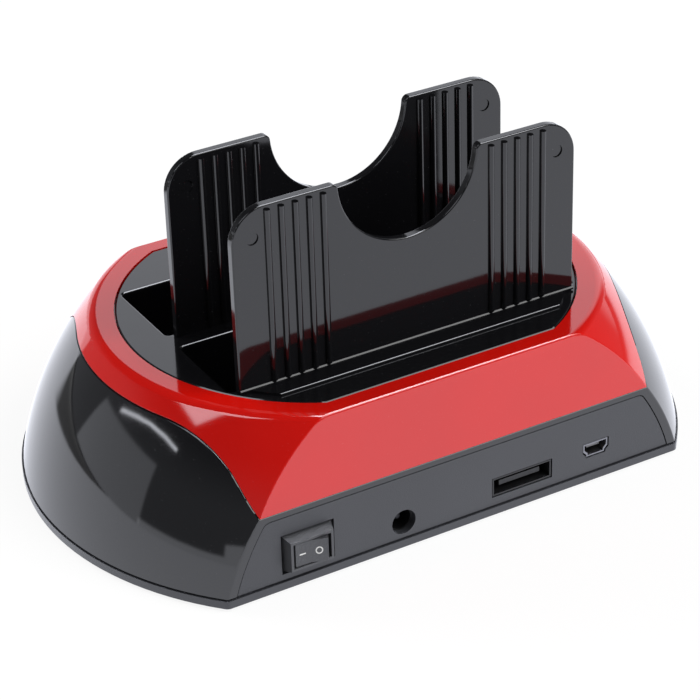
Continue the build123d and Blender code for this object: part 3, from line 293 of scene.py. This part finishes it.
def grained_plastic(name, colour, roughness, grain=2600.0, depth=0.00004):
    """Moulded plastic from an etched mould, with a fine even grain"""
    material, g = new_graph(name)
    place = g.place()
    cells = g.node(
        "ShaderNodeTexVoronoi", {"feature": "SMOOTH_F1"},
        {"Vector": place, "Scale": grain, "Smoothness": 0.6})
    fine = g.noise(place, grain * 2.2, 2.0)
    broad = g.noise(place, 30.0, 4.0)
    tone = broad * 0.5 + fine * 0.5
    shade = g.mix(tone.ramp(0.3, 0.7), colour4(colour, 0.86), colour4(colour, 1.14))
    surface = g.node("ShaderNodeBsdfPrincipled", None, {
        "Base Color": shade,
        "Roughness": tone * 0.12 + (roughness - 0.06),
        "IOR": 1.5,
        "Normal": g.bump(cells * 0.7 + fine * 0.5, depth),
    })
    g.finish(surface)
    return material


def soft_rubber(name, colour):
    """Dull rubber with a fine dusty bloom"""
    material, g = new_graph(name)
    place = g.place()
    fine = g.noise(place, 3800.0, 3.0)
    bloom = g.noise(place, 180.0, 4.0).ramp(0.45, 0.75)
    shade = g.mix(bloom * 0.5, colour4(colour), colour4(colour, 1.7))
    surface = g.node("ShaderNodeBsdfPrincipled", None, {
        "Base Color": shade,
        "Roughness": bloom * 0.1 + 0.78,
        "Normal": g.bump(fine, 0.00005),
    })
    g.finish(surface)
    return material


def plated_steel(name, colour, roughness, turn=(0.0, 0.0, 0.0)):
    """Plated sheet steel with drawn lines and light tarnish"""
    material, g = new_graph(name)
    place = g.place()
    stretched = g.node(
        "ShaderNodeMapping", None, {"Vector": place, "Rotation": turn, "Scale": (0.06, 1.0, 1.0)})
    lines = g.noise(stretched, 7000.0, 3.0)
    tarnish = g.noise(place, 320.0, 3.0).ramp(0.45, 0.8)
    shade = g.mix(tarnish * 0.5, colour4(colour), colour4(colour, 0.72))
    surface = g.node("ShaderNodeBsdfPrincipled", None, {
        "Base Color": shade,
        "Metallic": 1.0,
        "Roughness": lines * 0.16 + tarnish * 0.1 + roughness,
        "Normal": g.bump(lines, 0.000012),
    })
    g.finish(surface)
    return material


def circuit_board(name):
    """Green lacquer over copper tracks, with bare vias"""
    material, g = new_graph(name)
    place = g.place()
    across, along = g.axes(place, 2)
    wander = g.noise(place, 55.0, 1.0) * 0.012
    stripes = ((across + wander) * 640.0).fraction().ramp(0.42, 0.5)
    lanes = ((along + wander) * 410.0).fraction().ramp(0.55, 0.62)
    pick = g.noise(place, 80.0, 0.0).above(0.5)
    tracks = stripes * pick + lanes * (1.0 - pick)
    dots = g.node(
        "ShaderNodeTexVoronoi", None, {"Vector": place, "Scale": 190.0, "Randomness": 0.85})
    vias = dots.below(0.13)
    lacquer = g.mix(tracks * 0.6, (0.008, 0.07, 0.026, 1), (0.022, 0.17, 0.06, 1))
    shade = g.mix(vias, lacquer, (0.62, 0.6, 0.55, 1))
    surface = g.node("ShaderNodeBsdfPrincipled", None, {
        "Base Color": shade,
        "Roughness": vias * 0.1 + 0.26,
        "Normal": g.bump(tracks + vias, 0.00004),
    })
    g.finish(surface)
    return material


def moulded_insert(name, colour):
    """Glass filled connector plastic with short flow streaks"""
    material, g = new_graph(name)
    place = g.place()
    stretched = g.node("ShaderNodeMapping", None, {"Vector": place, "Scale": (0.25, 1.0, 1.0)})
    streaks = g.noise(stretched, 2400.0, 3.0)
    shade = g.mix(streaks.ramp(0.35, 0.7), colour4(colour, 0.8), colour4(colour, 1.5))
    surface = g.node("ShaderNodeBsdfPrincipled", None, {
        "Base Color": shade,
        "Roughness": streaks * 0.2 + 0.36,
        "Normal": g.bump(streaks, 0.00003),
    })
    g.finish(surface)
    return material


def clear_lens(name):
    """Milky lamp lens over a dark socket"""
    material, g = new_graph(name)
    place = g.place()
    cloud = g.noise(place, 900.0, 3.0)
    shade = g.mix(cloud, (0.42, 0.48, 0.6, 1), (0.66, 0.7, 0.8, 1))
    surface = g.node("ShaderNodeBsdfPrincipled", None, {
        "Base Color": shade,
        "Roughness": cloud * 0.08 + 0.08,
        "IOR": 1.49,
        "Normal": g.bump(cloud, 0.00002),
    })
    g.finish(surface)
    return material


def mark_paint(name):
    """White pad printing ink, slightly uneven"""
    material, g = new_graph(name)
    place = g.place()
    grain = g.noise(place, 6000.0, 3.0)
    shade = g.mix(grain.ramp(0.35, 0.65), (0.62, 0.62, 0.61, 1), (0.82, 0.82, 0.81, 1))
    surface = g.node("ShaderNodeBsdfPrincipled", None, {
        "Base Color": shade,
        "Roughness": grain * 0.2 + 0.4,
        "Normal": g.bump(grain, 0.00001),
    })
    g.finish(surface)
    return material


FINISHES = {}

# Turns of the drawn lines in plated steel
ACROSS = (0.0, 0.0, math.pi / 2)
UPRIGHT = (0.0, math.pi / 2, 0.0)


def guard_finish(name):
    """Gloss of the slot guards, a little softer than the housing's"""
    s = bpy.context.scene.dock_finish
    return polished_plastic(name, s.black, s.black_roughness + 0.02, 0.4, 1.48)


# Pieces whose finish differs from the rest of their slot
OWN_FINISHES = {
    "dc_jack": lambda n: moulded_insert(n, (0.004, 0.004, 0.0045)),
    "dc_jack_pin": lambda n: plated_steel(n, (0.05, 0.05, 0.055), 0.5),
    "esata_shell": lambda n: moulded_insert(n, (0.004, 0.004, 0.0045)),
    "esata_tongue": lambda n: moulded_insert(n, (0.005, 0.005, 0.0055)),
    "mini_usb_tongue": lambda n: moulded_insert(n, (0.16, 0.16, 0.17)),
    "mini_usb_shell": lambda n: plated_steel(n, (0.2, 0.2, 0.215), 0.34),
    "switch_rocker": lambda n: grained_plastic(
        n, (0.048, 0.049, 0.054), 0.4, 1500.0, 0.00012),
    "guard_plate_1": guard_finish,
    "guard_plate_2": guard_finish,
}


def finish_for(slot):
    """Material for one slot of the record, made once"""
    s = bpy.context.scene.dock_finish
    makers = {
        "gloss_red": lambda n: polished_plastic(n, s.red, s.red_roughness),
        "gloss_black": lambda n: polished_plastic(n, s.black, s.black_roughness),
        "deck_black": lambda n: polished_plastic(n, s.black, s.black_roughness + 0.03, 0.5, 1.5),
        "panel_grey": lambda n: grained_plastic(n, s.panel, s.panel_roughness),
        "tray_black": lambda n: grained_plastic(n, (0.03, 0.031, 0.036), 0.34, 2000.0, 0.00004),
        "switch_black": lambda n: grained_plastic(n, (0.05, 0.051, 0.056), 0.36, 3400.0, 0.00003),
        "button_black": lambda n: grained_plastic(n, (0.02, 0.02, 0.022), 0.36, 3000.0, 0.00002),
        "foot_rubber": lambda n: soft_rubber(n, (0.03, 0.03, 0.031)),
        "screw_steel": lambda n: plated_steel(n, (0.56, 0.56, 0.57), 0.22),
        "socket_steel": lambda n: plated_steel(n, (0.42, 0.42, 0.44), 0.24, ACROSS),
        "terminal_brass": lambda n: plated_steel(n, (0.83, 0.62, 0.28), 0.18, UPRIGHT),
        "capacitor_can": lambda n: plated_steel(n, (0.74, 0.74, 0.76), 0.25),
        "circuit_board": circuit_board,
        "connector_black": lambda n: moulded_insert(n, (0.012, 0.012, 0.013)),
        "tongue_black": lambda n: moulded_insert(n, (0.012, 0.012, 0.013)),
        "chip_black": lambda n: moulded_insert(n, (0.02, 0.02, 0.021)),
        "lens_blue": clear_lens,
        "mark_white": mark_paint,
    }
    if slot not in FINISHES:
        FINISHES[slot] = makers[slot](slot)
    return FINISHES[slot]


# Modelling helpers

def begin():
    """Object mode with nothing selected"""
    if bpy.context.mode != "OBJECT":
        bpy.ops.object.mode_set(mode="OBJECT")
    bpy.ops.object.select_all(action="DESELECT")


def only(obj):
    begin()
    obj.select_set(True)
    bpy.context.view_layer.objects.active = obj


def settle(obj):
    """Put an object's place, turn and scale into its mesh"""
    only(obj)
    bpy.ops.object.transform_apply(location=True, rotation=True, scale=True)


def edit(obj, kind):
    """Edit mode for vertices or edges, with nothing selected"""
    only(obj)
    bpy.ops.object.mode_set(mode="EDIT")
    bpy.ops.mesh.select_mode(type=kind)
    bpy.ops.mesh.select_all(action="DESELECT")
    return bmesh.from_edit_mesh(obj.data)


def bevel(obj, test, offset, segments):
    """Bevel the edges that pass a test"""
    edges = [edge for edge in edit(obj, "EDGE").edges if test(edge)]
    if not edges:
        raise RuntimeError(f"no edge to bevel on {obj.name}")
    for edge in edges:
        edge.select_set(True)
    bmesh.update_edit_mesh(obj.data)
    bpy.ops.mesh.bevel(offset=offset, segments=segments, affect="EDGES", clamp_overlap=False)
    bpy.ops.object.mode_set(mode="OBJECT")


def block(name, low, high):
    """Box between two corners"""
    begin()
    low, high = Vector(low), Vector(high)
    bpy.ops.mesh.primitive_cube_add(size=1, location=(low + high) / 2)
    obj = bpy.context.object
    obj.name = name
    obj.data.name = name
    obj.scale = high - low
    settle(obj)
    return obj


def use_modifier(obj, kind, **settings):
    only(obj)
    modifier = obj.modifiers.new(kind.lower(), kind)
    for key, value in settings.items():
        setattr(modifier, key, value)
    bpy.ops.object.modifier_apply(modifier=modifier.name)


def smooth(obj):
    only(obj)
    bpy.ops.object.shade_smooth_by_angle(angle=bpy.context.scene.dock_finish.smooth_angle)


def dress(obj, body, slot, finish=None):
    """Ride on a body with the finish of a slot, or with one of its own"""
    obj.data.materials.clear()
    obj.data.materials.append(finish or finish_for(slot))
    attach(obj, body)


def node_slot(node):
    for entry in frame["record"]["subparts"]:
        if entry["node"] == node:
            return entry["material_slot"]
    raise RuntimeError(f"no slot for {node}")


def finish_of(node):
    """Material of a node: its slot's, or one of its own"""
    if node not in OWN_FINISHES:
        return finish_for(node_slot(node))
    name = f"{node}_finish"
    if name not in FINISHES:
        FINISHES[name] = OWN_FINISHES[node](name)
    return FINISHES[name]


def node_body(node):
    for body, nodes in frame["record"]["behaviour"]["bodies"].items():
        if node in nodes:
            return body
    raise RuntimeError(f"no body for {node}")


# Arcs of the round ends about an upright axis on each side: centre, radius and lowest point
DOME_AXIS = 8.0 * MM
DOME_ARCS = (
    ((-8.0726 * MM, -16.6249 * MM), 92.8575 * MM, 2.0 * MM),
    ((59.4805 * MM, 41.1 * MM), 4.0 * MM, 41.1 * MM),
)
ON_ARC = 0.02 * MM
FACING = 0.95

# Rim along the seam of the round ends, which takes a fine highlight
RIM_LOW = 12.0 * MM
RIM_HIGH = 41.0 * MM
RIM_TURN = math.radians(40)
RIM_EASE = 0.16 * MM

MERGE_DISTANCE = 0.000001
NORMAL_WEIGHT = 60


def dome_normal(spot):
    """Exact normal of the housing's round end at a point, or None off it"""
    out = Vector((spot.x - math.copysign(DOME_AXIS, spot.x), spot.y))
    for (across, up), radius, lowest in DOME_ARCS:
        slant = Vector((out.length - across, spot.z - up))
        if spot.z > lowest and abs(slant.length - radius) < ON_ARC:
            slant.normalize()
            out.normalize()
            return Vector((out.x * slant.x, out.y * slant.x, slant.y))
    return None


def on_rim(edge):
    """Whether an edge is the outer rim of a skin along the seam of the round ends"""
    if len(edge.link_faces) != 2 or edge.calc_face_angle() < RIM_TURN:
        return False
    return all(RIM_LOW < v.co.z < RIM_HIGH and dome_normal(v.co) for v in edge.verts)


def exact_normals(obj):
    """Exact normals on the round ends, so that reflections run evenly over the facets"""
    mesh = obj.data
    normals = [corner.vector.copy() for corner in mesh.corner_normals]
    found = 0
    for face in mesh.polygons:
        for index in face.loop_indices:
            exact = dome_normal(mesh.vertices[mesh.loops[index].vertex_index].co)
            if exact and exact.dot(face.normal) > FACING:
                normals[index] = exact
                found += 1
    if not found:
        raise RuntimeError(f"no round end on {obj.name}")
    mesh.normals_split_custom_set(normals)


def smooth_copy(node):
    """Merged copy of a CAD node with soft shading on its curves and flat faces kept flat"""
    source = frame["nodes"][node]
    obj = source.copy()
    obj.data = source.data.copy()
    obj.parent = None
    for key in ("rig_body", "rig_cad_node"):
        if key in obj:
            del obj[key]
    obj.name = f"{node}_skin"
    obj.data.name = obj.name
    bpy.context.scene.collection.objects.link(obj)
    edit(obj, "VERT")
    bpy.ops.mesh.select_all(action="SELECT")
    bpy.ops.mesh.remove_doubles(threshold=MERGE_DISTANCE)
    bpy.ops.object.mode_set(mode="OBJECT")
    if node in ROUND_ENDED:
        bevel(obj, on_rim, RIM_EASE, segments=2)
    if obj.data.has_custom_normals:
        bpy.ops.mesh.customdata_custom_splitnormals_clear()
    smooth(obj)
    use_modifier(
        obj, "WEIGHTED_NORMAL", mode="FACE_AREA", weight=NORMAL_WEIGHT, keep_sharp=True)
    if node in ROUND_ENDED:
        exact_normals(obj)
    dress(obj, node_body(node), node_slot(node), finish_of(node))
    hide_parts(node)


# Operators, one for each piece or group of like pieces

ROUND_ENDED = ("body_shell", "top_cover")
SKINNED = (
    "body_shell", "top_cover", "base_tray", "bay_deck", "guard_plate_1", "guard_plate_2",
    "switch_rocker", "switch_housing", "backup_button", "rubber_feet", "base_screws",
    "led_lenses", "dc_jack", "dc_jack_pin", "connector_panel", "front_panel", "capacitors",
    "crystal", "main_board_screws", "bay_board_screws", "mini_usb_shell",
)


class DOCK_OT_skins(bpy.types.Operator):
    """Soft shaded skins over the curved solids"""
    bl_idname = "dock.skins"
    bl_label = "Curved skins"

    def execute(self, context):
        for node in SKINNED:
            smooth_copy(node)
        return {"FINISHED"}


class DOCK_OT_finishes(bpy.types.Operator):
    """Finishes on the flat sided solids"""
    bl_idname = "dock.finishes"
    bl_label = "Finishes"

    def execute(self, context):
        for node, obj in frame["nodes"].items():
            obj.data.materials.clear()
            obj.data.materials.append(finish_of(node))
        return {"FINISHED"}


class DOCK_OT_switch_marks(bpy.types.Operator):
    """On and off marks printed on the rocker"""
    bl_idname = "dock.switch_marks"
    bl_label = "Switch marks"

    # The rocker's section: its corners, the dish between them and the tilt at rest
    pivot = Vector((-45.2, -56.4, 10.8)) * MM
    radius = 5.1 * MM
    corner = math.radians(33)
    dish = 0.65 * MM
    tilt = math.radians(-10)

    dash_rounding = 0.7
    ring_segments = (48, 8)
    ring_stretch = 1.12

    def slope(self, side, offset):
        """Matrix of a mark that lies on one slope of the rocker's face"""
        end = Vector((side * math.cos(self.corner), -math.sin(self.corner), 0)) * self.radius
        middle = Vector((0, end.y + self.dish, 0))
        outward = (end - middle).normalized()
        along = outward * side
        out = Vector((along.y, -along.x, 0))
        turn = Matrix((along, Vector((0, 0, 1)), out)).transposed().to_4x4()
        tilt = Matrix.Rotation(self.tilt, 4, "Z")
        spot = Matrix.Translation(middle + outward * offset)
        return Matrix.Translation(self.pivot) @ tilt @ spot @ turn

    def execute(self, context):
        s = context.scene.dock_marks
        half, thin = s.dash_length / 2, s.dash_width / 2
        dash = block("switch_mark_on", (-half, -thin, -s.paint), (half, thin, s.paint))
        bevel(
            dash, lambda e: abs(e.verts[0].co.z - e.verts[1].co.z) > s.paint,
            thin * self.dash_rounding, segments=4)
        dash.matrix_world = self.slope(-1, s.on_offset)
        settle(dash)
        begin()
        around, across = self.ring_segments
        bpy.ops.mesh.primitive_torus_add(
            major_segments=around, minor_segments=across,
            major_radius=s.ring_radius, minor_radius=s.ring_stroke / 2)
        ring = context.object
        ring.name = "switch_mark_off"
        ring.data.name = ring.name
        ring.scale = (1, self.ring_stretch, 2 * s.paint / s.ring_stroke)
        settle(ring)
        ring.matrix_world = self.slope(1, s.off_offset)
        settle(ring)
        for piece in (dash, ring):
            smooth(piece)
            dress(piece, "rocker", "mark_white")
        return {"FINISHED"}


CONTACT_ROUNDING = 0.22


def contact_row(name, low, high, count=1, pitch=0.0):
    """Row of like metal contacts along X, each with eased edges"""
    row = block(name, low, high)
    size = Vector(high) - Vector(low)
    bevel(row, lambda e: True, min(size) * CONTACT_ROUNDING, segments=2)
    if count > 1:
        use_modifier(
            row, "ARRAY", count=count, use_relative_offset=False, use_constant_offset=True,
            constant_offset_displace=(pitch, 0, 0))
    smooth(row)
    dress(row, "dock", "terminal_brass")


class DOCK_OT_drive_contacts(bpy.types.Operator):
    """Rows of contacts in the two drive connectors"""
    bl_idname = "dock.drive_contacts"
    bl_label = "Drive contacts"

    # Openings of a connector from left to right: name, length and contacts
    openings = (("power", 21.0 * MM, 15), ("signal", 10.6 * MM, 7))
    wall_count = 3

    # Face of the tongue from the middle, foot and tip of a contact from the top, depth in sheets
    tongue_face = 0.75 * MM
    foot_depth = 6.1 * MM
    tip_depth = 0.9 * MM
    sheets = 1.4

    def execute(self, context):
        s = context.scene.dock_contacts
        open_length = sum(length for _, length, _ in self.openings)
        for number in (1, 2):
            low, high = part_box(f"sata_connector_{number}")
            face = (low.y + high.y) / 2 - self.tongue_face
            wall = (high.x - low.x - open_length) / self.wall_count
            left = low.x + wall
            for label, length, count in self.openings:
                start = left + (length - (count - 1) * s.pitch - s.width) / 2
                contact_row(
                    f"drive_contacts_{label}_{number}",
                    (start, face, high.z - self.foot_depth),
                    (start + s.width, face + s.thick * self.sheets, high.z - self.tip_depth),
                    count, s.pitch)
                left += length + wall
        return {"FINISHED"}


class DOCK_OT_socket_contacts(bpy.types.Operator):
    """Contacts on the tongues of the external sockets and in the card slot"""
    bl_idname = "dock.socket_contacts"
    bl_label = "Socket contacts"

    # Rows on a tongue, in mm from its middle and its mouth: across, inwards, up, count and pitch
    esata_row = ((-4.2, -3.4), (0.9, 8.5), 0.7, 7, 1.27)
    mini_usb_row = ((-1.8, -1.4), (0.6, 6.4), -0.05, 5, 0.8)

    # The USB tongues, in mm: middles of the contacts, half a width, reach and drop from the top
    usb_places = (-3.5, -1.0, 1.0, 3.5)
    usb_half = 0.5
    usb_inwards = (8.4, 0.8)
    usb_drop = 2.4

    # The card slot, in mm from its left end, its mouth and its middle
    card_across = (4.2, 5.4)
    card_inwards = (3.0, 8.5)
    card_drop = 1.4
    card_count = 9
    card_pitch = 2.3
    card_sheets = 2

    def execute(self, context):
        s = context.scene.dock_contacts
        half = s.thick / 2
        for name, box, row in (
            ("esata_contacts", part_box("esata_tongue"), self.esata_row),
            ("mini_usb_contacts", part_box("mini_usb_tongue"), self.mini_usb_row),
        ):
            (low, high), (across, inwards, up, count, pitch) = box, row
            middle, face = (low.x + high.x) / 2, (low.z + high.z) / 2 + up * MM
            contact_row(
                name,
                (middle + across[0] * MM, low.y + inwards[0] * MM, face - half),
                (middle + across[1] * MM, low.y + inwards[1] * MM, face + half),
                count, pitch * MM)
        for number in (1, 2):
            low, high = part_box(f"usb_tongue_{number}")
            middle, face = (low.x + high.x) / 2, high.z - self.usb_drop * MM
            for place, offset in enumerate(self.usb_places[:s.usb_count]):
                contact_row(
                    f"usb_contact_{number}_{place + 1}",
                    (middle + (offset - self.usb_half) * MM, high.y - self.usb_inwards[0] * MM,
                     face - half),
                    (middle + (offset + self.usb_half) * MM, high.y - self.usb_inwards[1] * MM,
                     face + half))
        low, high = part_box("card_socket")
        face = (low.z + high.z) / 2 - self.card_drop * MM
        contact_row(
            "card_contacts",
            (low.x + self.card_across[0] * MM, low.y + self.card_inwards[0] * MM, face),
            (low.x + self.card_across[1] * MM, low.y + self.card_inwards[1] * MM,
             face + s.thick * self.card_sheets),
            self.card_count, self.card_pitch * MM)
        return {"FINISHED"}


class DOCK_OT_stage(bpy.types.Operator):
    """Floor, soft light, white surroundings and the camera"""
    bl_idname = "dock.stage"
    bl_label = "Stage"

    eye = Vector((-0.294764, -0.521923, 0.369595))
    aim = Vector((0.00047, 0.0, 0.026008))
    sensor_width = 36
    clip_range = (0.01, 50)

    # Lamps: turn and rise in degrees, spread, radiance and whether the plastics mirror them
    lamp_distance = 1.8
    softboxes = (
        ("key", 40, 48.5, (42, 27), 4.6, True),
        ("key_skirt", 40, 22, (42, 26), 4.6, False),
        ("back_fill", -150, 20, (50, 30), 6.6, False),
    )

    # Panes of light that only reflections show: radiance and corners as turn and rise
    panes = {
        "left window": (0.75, ((-136, 14), (-142.5, -7), (-100.3, -1), (-100.3, 18))),
        "left corner light": (5.0, ((-110, 36), (-93, 35), (-74, 49), (-74, 70), (-110, 64))),
        "left back sweep": (1.0, ((-163, -3), (-163, 3), (-172, 12), (165, 14), (165, -3))),
        "front left sweep": (1.2, ((-66, -1), (-66, 6), (-50, 8), (-50, -1))),
        "left horizon": (1.2, ((-101, -1), (-101, 1.5), (-66, 2), (-66, -1))),
        "right top light": (14.0, ((50, 47), (50, 76), (158, 76), (158, 47))),
    }
    pane_softness = 0.012

    # Narrow tube light along the left side, as points on its middle line
    tube = ((-127, 17.9), (-119, 21.9), (-111.5, 24.6), (-103, 25.9), (-95, 25.5))
    tube_half = 0.5
    tube_radiance = 9.0
    tube_softness = 0.006

    # Pale wall behind and the sweep at its foot, as fades to the right, away and up
    wall_fades = ((0.26, 0.33), (0.42, 0.56), (0.52, 0.64))
    sweep_fades = ((0.45, 0.75), (0.17, 0.3), (0.0, 0.2))
    sweep_share = 0.5
    low_room_fade = (0.25, 0.6)
    low_room_share = 3.0

    # Where the table ends in reflections, as directions on it with a fade in metres
    table_edges = (((0.401, 0.916), (0.1, 0.13)), ((-1.0, -0.3), (0.06, 0.1)))
    table_right_fade = (0.4, 1.0)

    # Light that reaches the open floor, colours of reflections and the mottle of the floor
    floor_reach = 0.9
    floor_mottle = (0.98, 1.02)
    no_tint = (1, 1, 1, 1)
    floor_tint = (0.96, 0.985, 1.08, 1)
    room_tint = (0.955, 0.98, 1.06, 1)

    @staticmethod
    def rays(g):
        """Whether a ray is a camera, a glossy or a transmission ray, as three values"""
        return g.outputs(
            "ShaderNodeLightPath", ("Is Camera Ray", "Is Glossy Ray", "Is Transmission Ray"))

    def beyond(self, right, away):
        """1 past the edges of the table"""
        past = 1.0
        for (across, along), fade in self.table_edges:
            past = (right * across + away * along).ramp(*fade) * past
        return past.at_least(right.ramp(*self.table_right_fade))

    def floor(self, context):
        s = context.scene.dock_stage
        begin()
        bpy.ops.mesh.primitive_plane_add(size=s.floor_size)
        floor = context.object
        floor.name = "studio_floor"
        material, g = new_graph("floor_white")
        camera, glossy, through = self.rays(g)
        seen = camera.at_least(glossy).at_least(through)
        place = g.place()
        shades = (colour4((s.floor_albedo,) * 3, factor) for factor in self.floor_mottle)
        shade = g.mix(g.noise(place, 3.0, 2.0), *shades)
        matt = g.node("ShaderNodeBsdfDiffuse", None, {"Color": shade})
        white = 1.0 - s.floor_albedo * self.floor_reach
        table = 1.0 - self.beyond(*g.axes(place, 2))
        gloss = table * (s.floor_gloss - s.room_gloss) + s.room_gloss
        strength = seen * (white - s.floor_glow) + s.floor_glow + glossy * (gloss - white)
        tint = g.mix(glossy, self.no_tint, self.floor_tint)
        glow = g.node("ShaderNodeEmission", None, {"Color": tint, "Strength": strength})
        g.finish(g.node("ShaderNodeAddShader", None, {0: matt, 1: glow}))
        floor.data.materials.append(material)

    @staticmethod
    def band(axes, fades):
        """1 in the part of the surroundings right of, behind and below three fades"""
        right, away, up = (axis.ramp(*fade) for axis, fade in zip(axes, fades))
        return right * away * (1.0 - up)

    def mirrored_room(self, s, axes):
        """Brightness of the surroundings in reflections"""
        low = 1.0 - axes[2].ramp(*self.low_room_fade)
        wall = self.band(axes, self.wall_fades) * s.wall_gloss
        sweep = self.band(axes, self.sweep_fades) * s.wall_gloss * self.sweep_share
        total = low * s.room_gloss * self.low_room_share + s.room_gloss + wall + sweep
        for radiance, corners in self.panes.values():
            total = self.patch(axes, corners, self.pane_softness) * radiance + total
        for (turn, rise), (next_turn, next_rise) in zip(self.tube, self.tube[1:]):
            corners = (
                (turn, rise - self.tube_half), (turn, rise + self.tube_half),
                (next_turn, next_rise + self.tube_half), (next_turn, next_rise - self.tube_half))
            total = self.patch(axes, corners, self.tube_softness) * self.tube_radiance + total
        return total

    def room(self, context):
        s = context.scene.dock_stage
        world = bpy.data.worlds.new("white_room")
        context.scene.world = world
        world.use_nodes = True
        g = Graph(world.node_tree)
        camera, glossy, through = self.rays(g)
        seen = camera.at_least(through)
        mirrored = self.mirrored_room(s, g.axes(g.place("Generated"), 3))
        other = (1.0 - glossy) * s.room_light + glossy * mirrored
        strength = seen + (1.0 - seen) * other
        tint = g.mix(glossy, self.no_tint, self.room_tint)
        back = g.node("ShaderNodeBackground", None, {"Color": tint, "Strength": strength})
        g.finish(back, "ShaderNodeOutputWorld")

    @staticmethod
    def toward(turn, rise):
        """Direction at a turn from the front to the right and a rise, both in degrees"""
        turn, rise = math.radians(turn), math.radians(rise)
        level = Vector((math.sin(turn), -math.cos(turn), 0)) * math.cos(rise)
        return level + Vector((0, 0, math.sin(rise)))

    def patch(self, axes, corners, soft):
        """1 inside a patch of the surroundings given by the directions of its corners"""
        spots = [self.toward(*corner) for corner in corners]
        middle = sum(spots, Vector())
        inside = 1.0
        for first, second in zip(spots, spots[1:] + spots[:1]):
            wall = first.cross(second).normalized()
            if wall.dot(middle) < 0:
                wall.negate()
            reach = axes[0] * wall.x + axes[1] * wall.y + axes[2] * wall.z
            inside = reach.ramp(-soft, soft) * inside
        return inside

    def lamps(self, context):
        for name, turn, rise, spread, radiance, mirrored in self.softboxes:
            place = self.toward(turn, rise) * self.lamp_distance
            light = bpy.data.lights.new(name, "AREA")
            light.shape = "RECTANGLE"
            light.size, light.size_y = (
                2 * self.lamp_distance * math.tan(math.radians(angle / 2)) for angle in spread)
            light.energy = radiance * math.pi * light.size * light.size_y
            lamp = bpy.data.objects.new(name, light)
            context.scene.collection.objects.link(lamp)
            lamp.location = place
            lamp.rotation_euler = (-place).to_track_quat("-Z", "Y").to_euler()
            lamp.visible_glossy = mirrored

    def camera(self, context):
        s = context.scene.dock_stage
        data = bpy.data.cameras.new("photo_camera")
        data.lens = s.lens
        data.sensor_width = self.sensor_width
        data.sensor_fit = "HORIZONTAL"
        data.clip_start, data.clip_end = self.clip_range
        camera = bpy.data.objects.new("photo_camera", data)
        context.scene.collection.objects.link(camera)
        look = (self.aim - self.eye).normalized()
        right = look.cross(Vector((0, 0, 1))).normalized()
        up = right.cross(look)
        across = right * math.cos(s.roll) + up * math.sin(s.roll)
        above = up * math.cos(s.roll) - right * math.sin(s.roll)
        turn = Matrix((across, above, -look)).transposed().to_4x4()
        camera.matrix_world = Matrix.Translation(self.eye) @ turn
        context.scene.camera = camera

    def execute(self, context):
        context.scene.view_settings.view_transform = "Standard"
        self.floor(context)
        self.room(context)
        self.lamps(context)
        self.camera(context)
        return {"FINISHED"}


class DOCK_PT_panel(bpy.types.Panel):
    """Sidebar list of the dressing steps"""
    bl_idname = "DOCK_PT_panel"
    bl_label = "Drive dock"
    bl_space_type = "VIEW_3D"
    bl_region_type = "UI"
    bl_category = "Dock"

    def draw(self, context):
        column = self.layout.column()
        for operator in OPERATORS:
            column.operator(operator.bl_idname)


SETTINGS = {
    "dock_finish": DockFinishSettings,
    "dock_marks": DockMarkSettings,
    "dock_contacts": DockContactSettings,
    "dock_stage": DockStageSettings,
}
OPERATORS = (
    DOCK_OT_stage, DOCK_OT_finishes, DOCK_OT_skins, DOCK_OT_switch_marks,
    DOCK_OT_drive_contacts, DOCK_OT_socket_contacts,
)


def register():
    for name, group in SETTINGS.items():
        bpy.utils.register_class(group)
        setattr(bpy.types.Scene, name, PointerProperty(type=group))
    for operator in OPERATORS:
        bpy.utils.register_class(operator)
    bpy.utils.register_class(DOCK_PT_panel)


def unregister():
    bpy.utils.unregister_class(DOCK_PT_panel)
    for operator in reversed(OPERATORS):
        bpy.utils.unregister_class(operator)
    for name, group in SETTINGS.items():
        delattr(bpy.types.Scene, name)
        bpy.utils.unregister_class(group)


def main():
    register()
    bpy.ops.dock.stage()
    bpy.ops.dock.finishes()
    bpy.ops.dock.skins()
    bpy.ops.dock.switch_marks()
    bpy.ops.dock.drive_contacts()
    bpy.ops.dock.socket_contacts()


if __name__ == "__main__":
    main()
